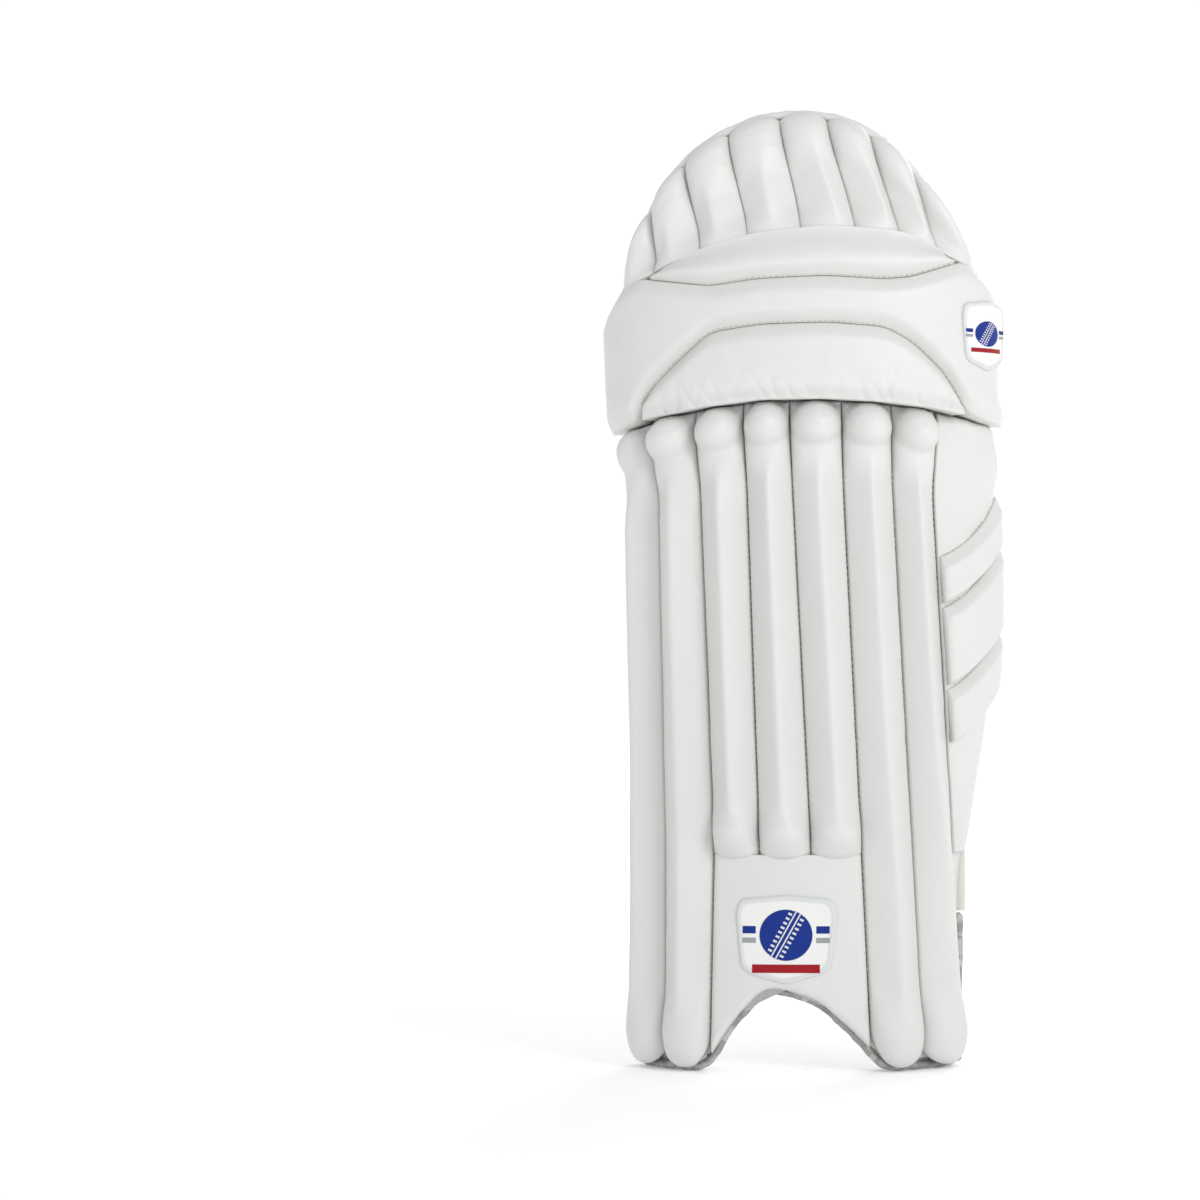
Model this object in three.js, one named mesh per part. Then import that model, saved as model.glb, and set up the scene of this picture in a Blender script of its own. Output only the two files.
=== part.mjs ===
// A cricket batting pad for the left leg, standing on its two feet.
// Millimetres, +Z up. The front faces -Y and the outer side, with the wing, is at +X.
import * as THREE from 'three';
import { mergeVertices } from 'three/addons/utils/BufferGeometryUtils.js';

const { degToRad, radToDeg, lerp, clamp } = THREE.MathUtils;

// Overall sizes
const padHeight = 740;
const padWidth = 310;
const wrapDepth = 70; // from the side rims forward to the backing
const rimAngle = 82; // how far each side goes round the leg, in degrees from the middle of the front

// Wall and padding thicknesses
const backingWall = 3;
const caneRidge = 21;
const caneEdge = 5; // at the side rims
const seamOut = 4; // how far the sewn seams stand out of the backing
const topRollRidge = 20;
const kneePad = 34;
const kneeSidePad = 23;
const wingPad = 6;
const ribPad = 8;
const instepPad = 8;
const badgeWall = 2;
const shinBolsterPad = 46;
const footBolsterPad = 30;
const kneeBolsterPad = 44;
const kneeBolsterEnd = 9;
const stripPad = 6;
const instepLiningPad = 7;
const topLiningPad = 6;
const wingLiningWall = 2;
const bindingRadius = 3.5;
const weltRadius = 4;
const bindingGap = 2.4; // between a binding and the edges it covers

// Straps and their rings
const strapWall = 1.8;
const hookGap = 1.6; // between a strap's two layers, where the hooks grip
const tabWall = 0.9;
const patchWall = 1.6;
const ringBar = 4;
const ringWall = 3;
const ringSlack = 1.2;
const kneeStrapWidth = 29;
const shinStrapWidth = 59;

// Clearances
const gap = 0.8; // between layers
const seamGap = 0.35; // between neighbours in one layer
const barGap = 0.7; // between a ring's bar and the webbing round it
const rollGap = 2; // between the rolls and the knee roll under them

const half = padWidth / 2;

// Horizontal sections of the wrap, from the floor up. Heights are shares of the pad's height, the reaches
// to the inner and outer side shares of half its width, depth and lean shares of the wrap's depth.
const sections = [
  { up: 0.0, inner: 0.795, outer: 0.775, depth: 0.97, lean: -0.06 },
  { up: 0.1, inner: 0.795, outer: 0.778, depth: 0.98, lean: -0.03 },
  { up: 0.2, inner: 0.79, outer: 0.79, depth: 1.0, lean: 0.0 },
  { up: 0.26, inner: 0.79, outer: 0.83, depth: 1.0, lean: 0.0 },
  { up: 0.34, inner: 0.79, outer: 0.895, depth: 1.0, lean: 0.0 },
  { up: 0.42, inner: 0.8, outer: 0.94, depth: 1.0, lean: 0.0 },
  { up: 0.5, inner: 0.81, outer: 0.95, depth: 1.0, lean: 0.0 },
  { up: 0.58, inner: 0.82, outer: 0.945, depth: 0.99, lean: 0.0 },
  { up: 0.64, inner: 0.835, outer: 0.915, depth: 0.97, lean: 0.0 },
  { up: 0.7, inner: 0.855, outer: 0.86, depth: 0.93, lean: 0.0 },
  { up: 0.77, inner: 0.865, outer: 0.85, depth: 0.91, lean: 0.0 },
  { up: 0.82, inner: 0.88, outer: 0.86, depth: 0.9, lean: 0.0 },
  { up: 0.87, inner: 0.93, outer: 0.89, depth: 0.87, lean: 0.01 },
  { up: 0.93, inner: 1.0, outer: 0.915, depth: 0.81, lean: 0.03 },
  { up: 1.0, inner: 1.04, outer: 0.96, depth: 0.74, lean: 0.06 },
];

// Seams between the shin canes, from the inner side out: shares of half the width at four heights.
const seamHeights = { foot: 0.034, ankle: 0.24, calf: 0.6, knee: 0.665 };
const caneSeams = [
  { foot: -0.86, ankle: -0.87, calf: -0.91, knee: -0.93 },
  { foot: -0.671, ankle: -0.671, calf: -0.706, knee: -0.748 },
  { foot: -0.452, ankle: -0.432, calf: -0.5, knee: -0.529 },
  { foot: -0.2, ankle: -0.206, calf: -0.268, knee: -0.288 },
  { foot: 0.06, ankle: 0.05, calf: -0.039, knee: -0.055 },
  { foot: 0.352, ankle: 0.303, calf: 0.216, knee: 0.206 },
  { foot: 0.606, ankle: 0.555, calf: 0.461, knee: 0.455 },
  { foot: 0.79, ankle: 0.755, calf: 0.658, knee: 0.677 },
];
const shortCanes = [3, 4, 5];

// Lines of the knee roll round the wrap, in degrees: its hem, two sewn seams and its crown, as shares of
// the pad's height.
const kneeLines = [
  { angle: -rimAngle, hem: 0.662, lowSeam: 0.662, highSeam: 0.775, crown: 0.775 },
  { angle: -68, hem: 0.668, lowSeam: 0.668, highSeam: 0.808, crown: 0.808 },
  { angle: -59, hem: 0.674, lowSeam: 0.675, highSeam: 0.82, crown: 0.82 },
  { angle: -54, hem: 0.677, lowSeam: 0.7, highSeam: 0.823, crown: 0.825 },
  { angle: -28, hem: 0.689, lowSeam: 0.765, highSeam: 0.813, crown: 0.855 },
  { angle: -12, hem: 0.695, lowSeam: 0.773, highSeam: 0.82, crown: 0.869 },
  { angle: 8, hem: 0.696, lowSeam: 0.775, highSeam: 0.823, crown: 0.876 },
  { angle: 26, hem: 0.693, lowSeam: 0.771, highSeam: 0.82, crown: 0.873 },
  { angle: 35, hem: 0.69, lowSeam: 0.757, highSeam: 0.823, crown: 0.868 },
  { angle: 49, hem: 0.685, lowSeam: 0.722, highSeam: 0.836, crown: 0.85 },
  { angle: 55, hem: 0.682, lowSeam: 0.694, highSeam: 0.841, crown: 0.843 },
  { angle: 59, hem: 0.681, lowSeam: 0.682, highSeam: 0.838, crown: 0.838 },
  { angle: 68, hem: 0.676, lowSeam: 0.676, highSeam: 0.827, crown: 0.827 },
  { angle: rimAngle, hem: 0.67, lowSeam: 0.67, highSeam: 0.797, crown: 0.797 },
];
const bandEnds = { lower: [-56, 56.5], upper: [-50, 52], middle: [-rimAngle, rimAngle] };

// Seams between the rolls above the knee, in degrees at the knee roll's crown and at the dome.
const rollSeams = [
  { crown: -71, dome: -62 },
  { crown: -50, dome: -49 },
  { crown: -31, dome: -34.5 },
  { crown: -15.5, dome: -20.5 },
  { crown: 0.3, dome: -6 },
  { crown: 17, dome: 7.5 },
  { crown: 31.5, dome: 21 },
  { crown: 46.5, dome: 36 },
  { crown: 70, dome: 58 },
];

// The dome's edge over the thigh
const domeShoulder = 0.77; // share of the height where the dome would meet the rims' line
const domePower = 1.2;

// The lower edge from foot to foot, over the instep: shares of half the width and of the pad's height
const lowerEdge = [
  { side: -0.5, up: 0.0 },
  { side: -0.44, up: 0.01 },
  { side: -0.374, up: 0.033 },
  { side: -0.303, up: 0.053 },
  { side: -0.2, up: 0.075 },
  { side: -0.11, up: 0.08 },
  { side: 0.08, up: 0.068 },
  { side: 0.204, up: 0.047 },
  { side: 0.286, up: 0.03 },
  { side: 0.346, up: 0.016 },
  { side: 0.4, up: 0.004 },
  { side: 0.46, up: 0.0 },
];

const caneStop = 0.222; // where the middle canes stop over the instep panel
const caneHead = 34; // the round head of a cane under the knee roll
const caneFoot = 30; // its round lower end
const roundEnd = 10; // how far a round end's corners stand back
const footFlat = 8; // where a foot's flat underside starts, outward of the binding

const instepBadge = { angle: -5, up: 0.139, width: 77, height: 68 };
const kneeBadge = { angle: 66.5, up: 0.764, width: 36, height: 54 };
const sideBindingTop = 0.16;
const weltEnds = [-64, 62]; // degrees
const liningMargin = 8; // degrees that the top lining stays inside the rims
const bolsterMargin = 7; // the same for the bolster behind the knee

// Raised ribs on the wing: their seams' heights at the cane beside them and at the rim
const wingRibs = [
  { name: 'wing_rib_upper', nearLow: 0.486, nearHigh: 0.534, rimLow: 0.553, rimHigh: 0.598 },
  { name: 'wing_rib_middle', nearLow: 0.401, nearHigh: 0.481, rimLow: 0.464, rimHigh: 0.548 },
  { name: 'wing_rib_lower', nearLow: 0.341, nearHigh: 0.396, rimLow: 0.4, rimHigh: 0.459 },
];
const wingFoot = 0.225; // share of the height where the wing starts

// Bolsters along the leg: the angles of their two sides at three heights
const shinBolsters = [
  {
    name: 'shin_bolster_outer',
    rows: [
      { up: 0.15, from: 9.5, to: 57 },
      { up: 0.45, from: 9.5, to: 56 },
      { up: 0.63, from: 10.5, to: 46 },
    ],
  },
  {
    name: 'shin_bolster_inner',
    rows: [
      { up: 0.15, from: -61, to: -22.5 },
      { up: 0.45, from: -61, to: -22 },
      { up: 0.63, from: -54, to: -21 },
    ],
  },
];
const shinBolsterFoot = 0.168;
const footBolsters = [
  { name: 'foot_bolster_outer', from: 25, to: 73 },
  { name: 'foot_bolster_inner', from: -73, to: -37 },
];

// The bolster behind the knee: its lower and upper edge round the wrap, and its two seams
const kneeBolsterLines = [
  { angle: -rimAngle, low: 0.615, high: 0.753 },
  { angle: -25, low: 0.625, high: 0.79 },
  { angle: 15, low: 0.631, high: 0.802 },
  { angle: rimAngle, low: 0.644, high: 0.793 },
];
const kneeBolsterParts = [
  { name: 'knee_bolster_inner', from: bolsterMargin - rimAngle, to: -26 },
  { name: 'knee_bolster_middle', from: -26, to: 20 },
  { name: 'knee_bolster_outer', from: 20, to: rimAngle - bolsterMargin },
];

// Straps: where each crosses the inner and outer rim, and where its ring and its tab are
const straps = [
  {
    name: 'knee',
    width: kneeStrapWidth,
    innerUp: 0.682,
    outerUp: 0.712,
    ring: 0.735,
    end: -0.42,
    tab: -0.53,
    ringGap: 17,
  },
  {
    name: 'calf',
    width: shinStrapWidth,
    innerUp: 0.489,
    outerUp: 0.515,
    ring: 0.616,
    end: -0.62,
    ringGap: 18,
  },
  {
    name: 'ankle',
    width: shinStrapWidth,
    innerUp: 0.214,
    outerUp: 0.199,
    ring: 0.52,
    end: -0.33,
    tab: -0.5,
    ringGap: 20,
  },
];

// The moulded patch on the calf strap: shares of half the width along it, of the strap's width across it
const patchOutline = [
  { along: -0.74, low: 0.2, high: 0.3 },
  { along: -0.6, low: -0.36, high: 0.5 },
  { along: -0.19, low: -0.37, high: 0.49 },
  { along: -0.15, low: -0.3, high: 0.49 },
  { along: -0.06, low: 0.03, high: 0.48 },
  { along: 0.19, low: 0.04, high: 0.47 },
  { along: 0.3, low: 0.04, high: 0.14 },
];

// Colours
const leather = [0.93, 0.935, 0.925];
const mesh = [0.9, 0.9, 0.885];
const lining = [0.88, 0.85, 0.83];
const blue = [0.03, 0.12, 0.34];
const silver = [0.6, 0.61, 0.62];
const plastic = [0.95, 0.95, 0.94];

// The value of one column at a share, on a smooth curve through the table's rows
function smooth(rows, key, column, at) {
  const last = rows.length - 1;
  let i = 0;
  while (i < last - 1 && at > rows[i + 1][key]) i += 1;
  const slope = (k) => {
    const before = rows[Math.max(k - 1, 0)];
    const after = rows[Math.min(k + 1, last)];
    return (after[column] - before[column]) / (after[key] - before[key]);
  };
  const width = rows[i + 1][key] - rows[i][key];
  const t = clamp((at - rows[i][key]) / width, 0, 1);
  const rise = t * t * (3 - 2 * t);
  return (
    lerp(rows[i][column], rows[i + 1][column], rise) +
    width * t * (1 - t) * ((1 - t) * slope(i) - t * slope(i + 1))
  );
}

// The value of one column at a place, on straight lines between the table's rows
function straight(rows, key, column, at) {
  let i = 0;
  while (i < rows.length - 2 && at > rows[i + 1][key]) i += 1;
  const t = clamp((at - rows[i][key]) / (rows[i + 1][key] - rows[i][key]), 0, 1);
  return lerp(rows[i][column], rows[i + 1][column], t);
}

// The horizontal section of the wrap at a height: half an ellipse, wider on one side than the other
function sectionAt(height) {
  const up = height / padHeight;
  return {
    inner: smooth(sections, 'up', 'inner', up) * half,
    outer: smooth(sections, 'up', 'outer', up) * half,
    depth: smooth(sections, 'up', 'depth', up) * wrapDepth,
    lean: smooth(sections, 'up', 'lean', up) * wrapDepth,
  };
}

// A point of the wrap: the angle round the leg in degrees, the height, and the distance out of the backing
function wrap(angle, height, out) {
  const s = sectionAt(height);
  const reach = angle < 0 ? s.inner : s.outer;
  const sin = Math.sin(degToRad(angle));
  const cos = Math.cos(degToRad(angle));
  const length = Math.hypot(s.depth * sin, reach * cos);
  return new THREE.Vector3(
    reach * sin + (out * s.depth * sin) / length,
    s.lean - s.depth * cos - (out * reach * cos) / length,
    height,
  );
}

// Degrees round the wrap that a length along it takes at an angle
function degreesOf(length, angle, height) {
  const s = sectionAt(height);
  const reach = angle < 0 ? s.inner : s.outer;
  const a = degToRad(angle);
  return radToDeg(length / Math.hypot(reach * Math.cos(a), s.depth * Math.sin(a)));
}

// The angle at which the wrap is this far to the side, kept inside the rims
function angleAt(x, height) {
  const s = sectionAt(height);
  const reach = (x < 0 ? s.inner : s.outer) + seamOut;
  const limit = Math.sin(degToRad(rimAngle));
  return radToDeg(Math.asin(clamp(x / reach, -limit, limit)));
}

function caneSeamAngle(seam, height) {
  const row = caneSeams[seam];
  const points = Object.keys(seamHeights).map((name) => ({ up: seamHeights[name], x: row[name] }));
  return angleAt(straight(points, 'up', 'x', height / padHeight) * half, height);
}

const kneeLine = (name, angle) => straight(kneeLines, 'angle', name, angle) * padHeight;
const kneeBolsterLine = (name, angle) => smooth(kneeBolsterLines, 'angle', name, angle) * padHeight;

function domeEdge(angle) {
  const shoulder = domeShoulder * padHeight;
  return shoulder + (padHeight - shoulder) * Math.cos(degToRad(angle)) ** domePower;
}

// The height at which the wrap is this far inside the dome's edge, measured square to the edge
function domeInset(angle, inset) {
  const a = degToRad(angle);
  const s = sectionAt(domeEdge(angle));
  const reach = angle < 0 ? s.inner : s.outer;
  const fall = (1 - domeShoulder) * padHeight * domePower * Math.cos(a) ** (domePower - 1) * Math.sin(a);
  const slope = fall / Math.hypot(reach * Math.cos(a), s.depth * Math.sin(a));
  return domeEdge(angle) - inset * Math.hypot(1, slope);
}

// The height of the lower edge at an angle: the notch over the instep, and the floor beside it
function notchEdge(angle) {
  const side = wrap(angle, 0, 0).x / half;
  if (side <= lowerEdge[0].side || side >= lowerEdge[lowerEdge.length - 1].side) return 0;
  return smooth(lowerEdge, 'side', 'up', side) * padHeight;
}

// Where a layer beside the binding may start
const overBinding = (angle) => notchEdge(angle) + 2 * bindingRadius + bindingGap;

// A closed box of quads whose grid is placed by a function of three shares: across, up and outward
function bentBox(columns, rows, layers, place) {
  const box = new THREE.BoxGeometry(1, 1, 1, columns, rows, layers);
  const at = box.getAttribute('position');
  for (let i = 0; i < at.count; i += 1) {
    const p = Math.round((at.getX(i) + 0.5) * columns);
    const q = Math.round((at.getY(i) + 0.5) * rows);
    const t = Math.round((at.getZ(i) + 0.5) * layers);
    const v = place(p, q, t);
    at.setXYZ(i, v.x, v.y, v.z);
  }
  return facingOut(box);
}

// The same solid with shared corners, no collapsed faces, and its faces pointing out
function facingOut(geometry) {
  geometry.deleteAttribute('normal');
  geometry.deleteAttribute('uv');
  const merged = mergeVertices(geometry, 1e-3);
  const at = merged.getAttribute('position');
  const index = Array.from(merged.index.array);
  const corner = (i) => new THREE.Vector3().fromBufferAttribute(at, i);
  let volume = 0;
  const faces = [];
  for (let i = 0; i < index.length; i += 3) {
    const [a, b, c] = index.slice(i, i + 3);
    if (a !== b && b !== c && c !== a) {
      faces.push([a, b, c]);
      volume += corner(a).dot(corner(b).cross(corner(c)));
    }
  }
  merged.setIndex((volume < 0 ? faces.map(([a, b, c]) => [a, c, b]) : faces).flat());
  merged.computeVertexNormals();
  return merged;
}

const pad = new THREE.Group();

function add(name, geometry, colour, roughness = 0.6) {
  const material = new THREE.MeshStandardMaterial({
    color: new THREE.Color(...colour),
    roughness,
    metalness: 0,
  });
  const part = new THREE.Mesh(geometry, material);
  part.name = name;
  pad.add(part);
  return part;
}

// Even steps from one value to another, both ends included
const steps = (from, to, count) => Array.from({ length: count + 1 }, (_, i) => lerp(from, to, i / count));

// Levels that all long pieces share, so that layers stay parallel between them
const levels = [0.05, 0.15, 0.3, 0.97, ...sections.map((row) => row.up)]
  .sort((a, b) => a - b)
  .map((up) => up * padHeight);
const leastRow = 8; // a piece's own edges stay this far from a shared level
const levelsBetween = (low, high, margin = leastRow) =>
  levels.filter((z) => z > low + margin && z < high - margin);

// A pillow's height across it: low at its seams and full in the middle
const pillow = (share, power = 0.5) => Math.max(0, 4 * share * (1 - share)) ** power;

// The carrier that everything is sewn to
function backing() {
  const columns = 28;
  const place = (p, q, t) => {
    const angle = lerp(-rimAngle, rimAngle, p / columns);
    const high = domeInset(angle, 2 * weltRadius + gap);
    const height = clamp(levels[q], overBinding(angle), high);
    return wrap(angle, height, t ? 0 : -backingWall);
  };
  return bentBox(columns, levels.length - 1, 1, place);
}

// One shin cane: a soft roof with a ridge, a round head under the knee roll and a round lower end
const roofProfile = [
  { across: 0, rise: 0.18 },
  { across: 0.05, rise: 0.43 },
  { across: 0.26, rise: 0.72 },
  { across: 0.5, rise: 1 },
  { across: 0.74, rise: 0.72 },
  { across: 0.95, rise: 0.43 },
  { across: 1, rise: 0.18 },
];
const roofRise = (across) => straight(roofProfile, 'across', 'rise', across);

// How far the corners of a round end stand back from its tip
const tipRise = (share) => roundEnd * Math.max(0, 1 - 1.15 * pillow(share));

function cane(number) {
  const seam = number - 1;
  const standing = !shortCanes.includes(number);
  const lowSteps = [0, 0.12, 0.4, 1];
  const highSteps = [1, 0.75, 0.35, 0.12, 0];
  const crossing = (height, share) =>
    lerp(caneSeamAngle(seam, height), caneSeamAngle(seam + 1, height), share);
  const footAt = (share) => (standing ? notchEdge(crossing(0, share)) : caneStop * padHeight);
  const hemAt = (share) => kneeLine('hem', crossing(padHeight * seamHeights.knee, share)) - gap;
  const between = levelsBetween(footAt(0.5) + caneFoot, hemAt(0.5) - caneHead);
  const layers = standing ? 2 : 1;
  const place = (p, q, t) => {
    const share = roofProfile[p].across;
    let height;
    let round = 1;
    if (q < lowSteps.length) {
      const foot = footAt(share);
      const start = standing && t === 0 ? overBinding(crossing(0, share)) : foot + tipRise(share);
      height = lerp(start, foot + caneFoot, lowSteps[q]);
      round = 0.5 + 0.5 * pillow(lowSteps[q] / 2);
    } else if (q < lowSteps.length + between.length) {
      height = between[q - lowSteps.length];
    } else {
      const down = highSteps[q - lowSteps.length - between.length];
      height = hemAt(share) - down * caneHead;
      round = 0.6 + 0.45 * pillow(down / 2);
    }
    const [from, to] = [crossing(height, 0), crossing(height, 1)];
    const inset = degreesOf(seamGap / 2, (from + to) / 2, height);
    const angle = lerp(from + inset, to - inset, share);
    const full = caneRidge * roofRise(share) * round;
    const mid = standing && q === 0 ? Math.min(full / 2, footFlat) : full / 2;
    return wrap(angle, height, gap + (t === layers ? full : t * mid));
  };
  const rows = lowSteps.length + between.length + highSteps.length - 1;
  return bentBox(roofProfile.length - 1, rows, layers, place);
}

// A padded band across its width: low at its seams and full between them
const bandProfile = [
  { rise: 0, full: 0.62 },
  { rise: 0.1, full: 0.85 },
  { rise: 0.32, full: 1 },
  { rise: 0.68, full: 1 },
  { rise: 0.9, full: 0.85 },
  { rise: 1, full: 0.62 },
];

// How far the knee roll stands out of the backing
function kneeOut(angle, rise) {
  const full = lerp(kneePad, kneeSidePad, (Math.abs(angle) / rimAngle) ** 2);
  return gap + full * straight(bandProfile, 'rise', 'full', rise);
}

// Columns that the knee roll's bands share, so that their seams lie side by side
const widestColumn = 9.5; // degrees
const kneeCorners = [...kneeLines.map((row) => row.angle), ...bandEnds.lower, ...bandEnds.upper];
kneeCorners.sort((a, b) => a - b);
const kneeColumns = kneeCorners.flatMap((angle, i) => {
  const next = kneeCorners[i + 1] ?? angle;
  const count = Math.max(1, Math.ceil((next - angle) / widestColumn));
  return steps(angle, next, count).slice(0, -1);
});

// One band of the knee roll, between two of its lines
function kneeBand(lowLine, highLine, [from, to]) {
  const angles = [from, ...kneeColumns.filter((angle) => angle > from && angle < to), to];
  const place = (p, q, t) => {
    const angle = angles[p];
    const low = kneeLine(lowLine, angle) + (lowLine === 'hem' ? 0 : gap);
    const high = kneeLine(highLine, angle) - (highLine === 'crown' ? 0 : gap);
    const { rise } = bandProfile[q];
    return wrap(angle, lerp(low, high, rise), t ? kneeOut(angle, rise) : gap);
  };
  return bentBox(angles.length - 1, bandProfile.length - 1, 1, place);
}

// One roll above the knee, from the knee roll's crown up to the dome
function topRoll(index) {
  const [left, right] = [rollSeams[index], rollSeams[index + 1]];
  const profile = roofProfile.map((row) => row.across);
  const rises = [0, 0.2, 0.6, 0.88, 1];
  const place = (p, q, t) => {
    const share = profile[p];
    const atCrown = lerp(left.crown, right.crown, share);
    const atDome = lerp(left.dome, right.dome, share);
    const low = kneeLine('crown', atCrown) + rollGap;
    const high = domeInset(atDome, 2 * weltRadius + 2 * gap);
    const height = lerp(low, high, rises[q]);
    const inset = degreesOf(seamGap / 2, atDome, height) * (1 - 2 * share);
    const angle = lerp(atCrown, atDome, rises[q]) + inset;
    const end = lerp(1, 0.62, rises[q]) * (0.45 + 0.55 * pillow(Math.min(1, 0.5 + rises[q] / 2), 0.6));
    const full = topRollRidge * (0.25 + 0.75 * roofRise(share)) * end;
    return wrap(angle, height, t ? gap + full : gap);
  };
  return bentBox(profile.length - 1, rises.length - 1, 1, place);
}

// The flat panel over the instep, between the feet
function instepPanel() {
  const columns = 8;
  const rises = [0, 0.08, 0.5, 0.92, 1];
  const top = caneStop * padHeight - gap;
  const place = (p, q, t) => {
    const share = p / columns;
    const side = (height) =>
      lerp(caneSeamAngle(2, height) + seamGap / 2, caneSeamAngle(5, height) - seamGap / 2, share);
    const height = lerp(overBinding(side(0)), top, rises[q]);
    return wrap(side(height), height, t ? gap + instepPad * (0.5 + 0.5 * pillow(rises[q], 0.3)) : gap);
  };
  return bentBox(columns, rises.length - 1, 1, place);
}

// A thin raised badge with rounded corners on a surface that stands out by a given distance
function badge({ angle, up, width, height, rest }) {
  const columns = 8;
  const place = (p, q, t) => {
    const share = (2 * p) / columns - 1;
    const middle = up * padHeight;
    const at = angle + degreesOf((share * width) / 2, angle, middle);
    const reach = (height / 2) * (1 - Math.abs(share) ** 6 * 0.35);
    const z = middle + lerp(-reach, reach, q / 4);
    return wrap(at, z, rest(at, z) + (t ? badgeWall : 0));
  };
  return bentBox(columns, 4, 1, place);
}

// What the knee's badge rests on
function kneeBadgeRest(angle, height) {
  const [low, high] = [kneeLine('lowSeam', angle), kneeLine('highSeam', angle)];
  return kneeOut(angle, (height - low) / (high - low)) + gap;
}

// The wing that carries the pad round the outer side of the calf
const wingTop = (angle) => kneeLine('hem', angle) - gap;
const wingEdge = (height) => caneSeamAngle(7, height) + degreesOf(2 * seamGap, 60, height);

function wingPanel() {
  const foot = wingFoot * padHeight;
  const rows = [foot, ...levelsBetween(foot, wingTop(60)), wingTop(60)];
  const last = rows.length - 1;
  const place = (p, q, t) => {
    const rough = lerp(wingEdge(rows[q]), rimAngle, p / 5);
    const height = q < last ? rows[q] : wingTop(rough);
    const angle = lerp(wingEdge(height), rimAngle, p / 5);
    return wrap(angle, height, t ? gap + wingPad : gap);
  };
  return bentBox(5, last, 1, place);
}

// A rib on the wing: thin at its upper seam and full at its lower one
function wingRib(row) {
  const profile = [
    { rise: 0, full: 0.75 },
    { rise: 0.1, full: 1 },
    { rise: 0.72, full: 0.95 },
    { rise: 1, full: 0.3 },
  ];
  const place = (p, q, t) => {
    const share = p / 5;
    const low = lerp(row.nearLow, row.rimLow, share);
    const high = lerp(row.nearHigh, row.rimHigh, share);
    const height = lerp(low, high, profile[q].rise) * padHeight;
    const angle = lerp(wingEdge(height) + 1, rimAngle - 1, share);
    const base = 2 * gap + wingPad;
    return wrap(angle, height, t ? base + ribPad * profile[q].full : base);
  };
  return bentBox(5, profile.length - 1, 1, place);
}

// How far a leg bolster stands inward of the backing at a share across it
const bolsterRise = (share) => 0.16 + 0.84 * pillow(share, 0.62);

// A bolster along the leg, on the inside, round at both ends
function legBolster({ sides, low, high, thickness, standing }) {
  const across = [0, 0.08, 0.22, 0.4, 0.6, 0.78, 0.92, 1];
  const end = thickness * 0.55;
  const fromLow = [0, end * 0.3, end];
  const fromTop = [end, end * 0.3, 0];
  const between = levelsBetween(low + end, high(0) - end);
  const layers = standing ? 2 : 1;
  const place = (p, q, t) => {
    const share = across[p];
    const foot = lerp(...sides(low), share);
    const edge = standing ? notchEdge(foot) : low;
    const start = standing && t === 0 ? overBinding(foot) : edge + tipRise(share);
    const top = high(lerp(...sides(high(0)), share));
    const lowRows = fromLow.map((d) => lerp(start, edge + end, d / end));
    const height = [...lowRows, ...between, ...fromTop.map((d) => top - d)][q];
    const [from, to] = sides(height);
    const nearEnd = clamp(Math.min(q < 3 ? fromLow[q] : end, top - height) / end, 0, 1);
    const round = 0.45 + 0.55 * Math.sqrt(nearEnd * (2 - nearEnd));
    const full = thickness * bolsterRise(share) * round;
    const mid = q === 0 ? Math.min(full / 2, footFlat) : full / 2;
    return wrap(lerp(from, to, share), height, -backingWall - gap - (t === layers ? full : t * mid));
  };
  return bentBox(across.length - 1, between.length + 5, layers, place);
}

function shinBolsterSides(rows, height) {
  const up = height / padHeight;
  return [smooth(rows, 'up', 'from', up), smooth(rows, 'up', 'to', up)];
}

// The three cushions behind the knee, thickest in the middle of the leg
const kneeBolsterFull = (angle) =>
  lerp(kneeBolsterPad, kneeBolsterEnd, clamp((Math.abs(angle) - 30) / (rimAngle - 30), 0, 1) ** 1.2);

function kneeBolster({ from, to }) {
  const columns = 7;
  const profile = [0, 0.06, 0.2, 0.5, 0.8, 0.94, 1];
  const place = (p, q, t) => {
    const share = p / columns;
    const inset = degreesOf(seamGap / 2, (from + to) / 2, padHeight * 0.7);
    const angle = lerp(from + inset, to - inset, share);
    const height = lerp(kneeBolsterLine('low', angle), kneeBolsterLine('high', angle), profile[q]);
    const swell = (0.3 + 0.7 * pillow(profile[q], 0.45)) * (0.8 + 0.2 * pillow(share, 0.5));
    const face = -backingWall - gap;
    return wrap(angle, height, t ? face - kneeBolsterFull(angle) * swell : face);
  };
  return bentBox(columns, profile.length - 1, 1, place);
}

// A thin padded lining on the inside of the backing between two sides and two edges
function liningPiece({ sides, low, high, thickness, columns }) {
  const samples = steps(0, 1, columns).map((share) => lerp(...sides(low(0)), share));
  const between = levelsBetween(Math.min(...samples.map(low)), Math.max(...samples.map(high)), 4);
  const last = between.length + 1;
  const place = (p, q, t) => {
    const share = p / columns;
    const rough = lerp(...sides([low(0), ...between, high(0)][q]), share);
    const height = clamp([low(rough), ...between, high(rough)][q], low(rough), high(rough));
    const angle = lerp(...sides(height), share);
    const face = -backingWall - gap;
    return wrap(angle, height, t ? face - thickness : face);
  };
  return bentBox(columns, last, 1, place);
}

// A round binding swept along points of the wrap
function binding(points, radius, count) {
  const route = new THREE.CatmullRomCurve3(points, false, 'centripetal');
  const sides = 6;
  const section = new THREE.Shape(
    steps(0, 2 * Math.PI, sides)
      .slice(0, -1)
      .map((a) => a + Math.PI / sides)
      .map((a) => new THREE.Vector2(radius * Math.cos(a), radius * Math.sin(a))),
  );
  const along = { extrudePath: route, steps: count, bevelEnabled: false };
  return facingOut(new THREE.ExtrudeGeometry(section, along));
}

const bindingOut = -backingWall / 2;

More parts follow.
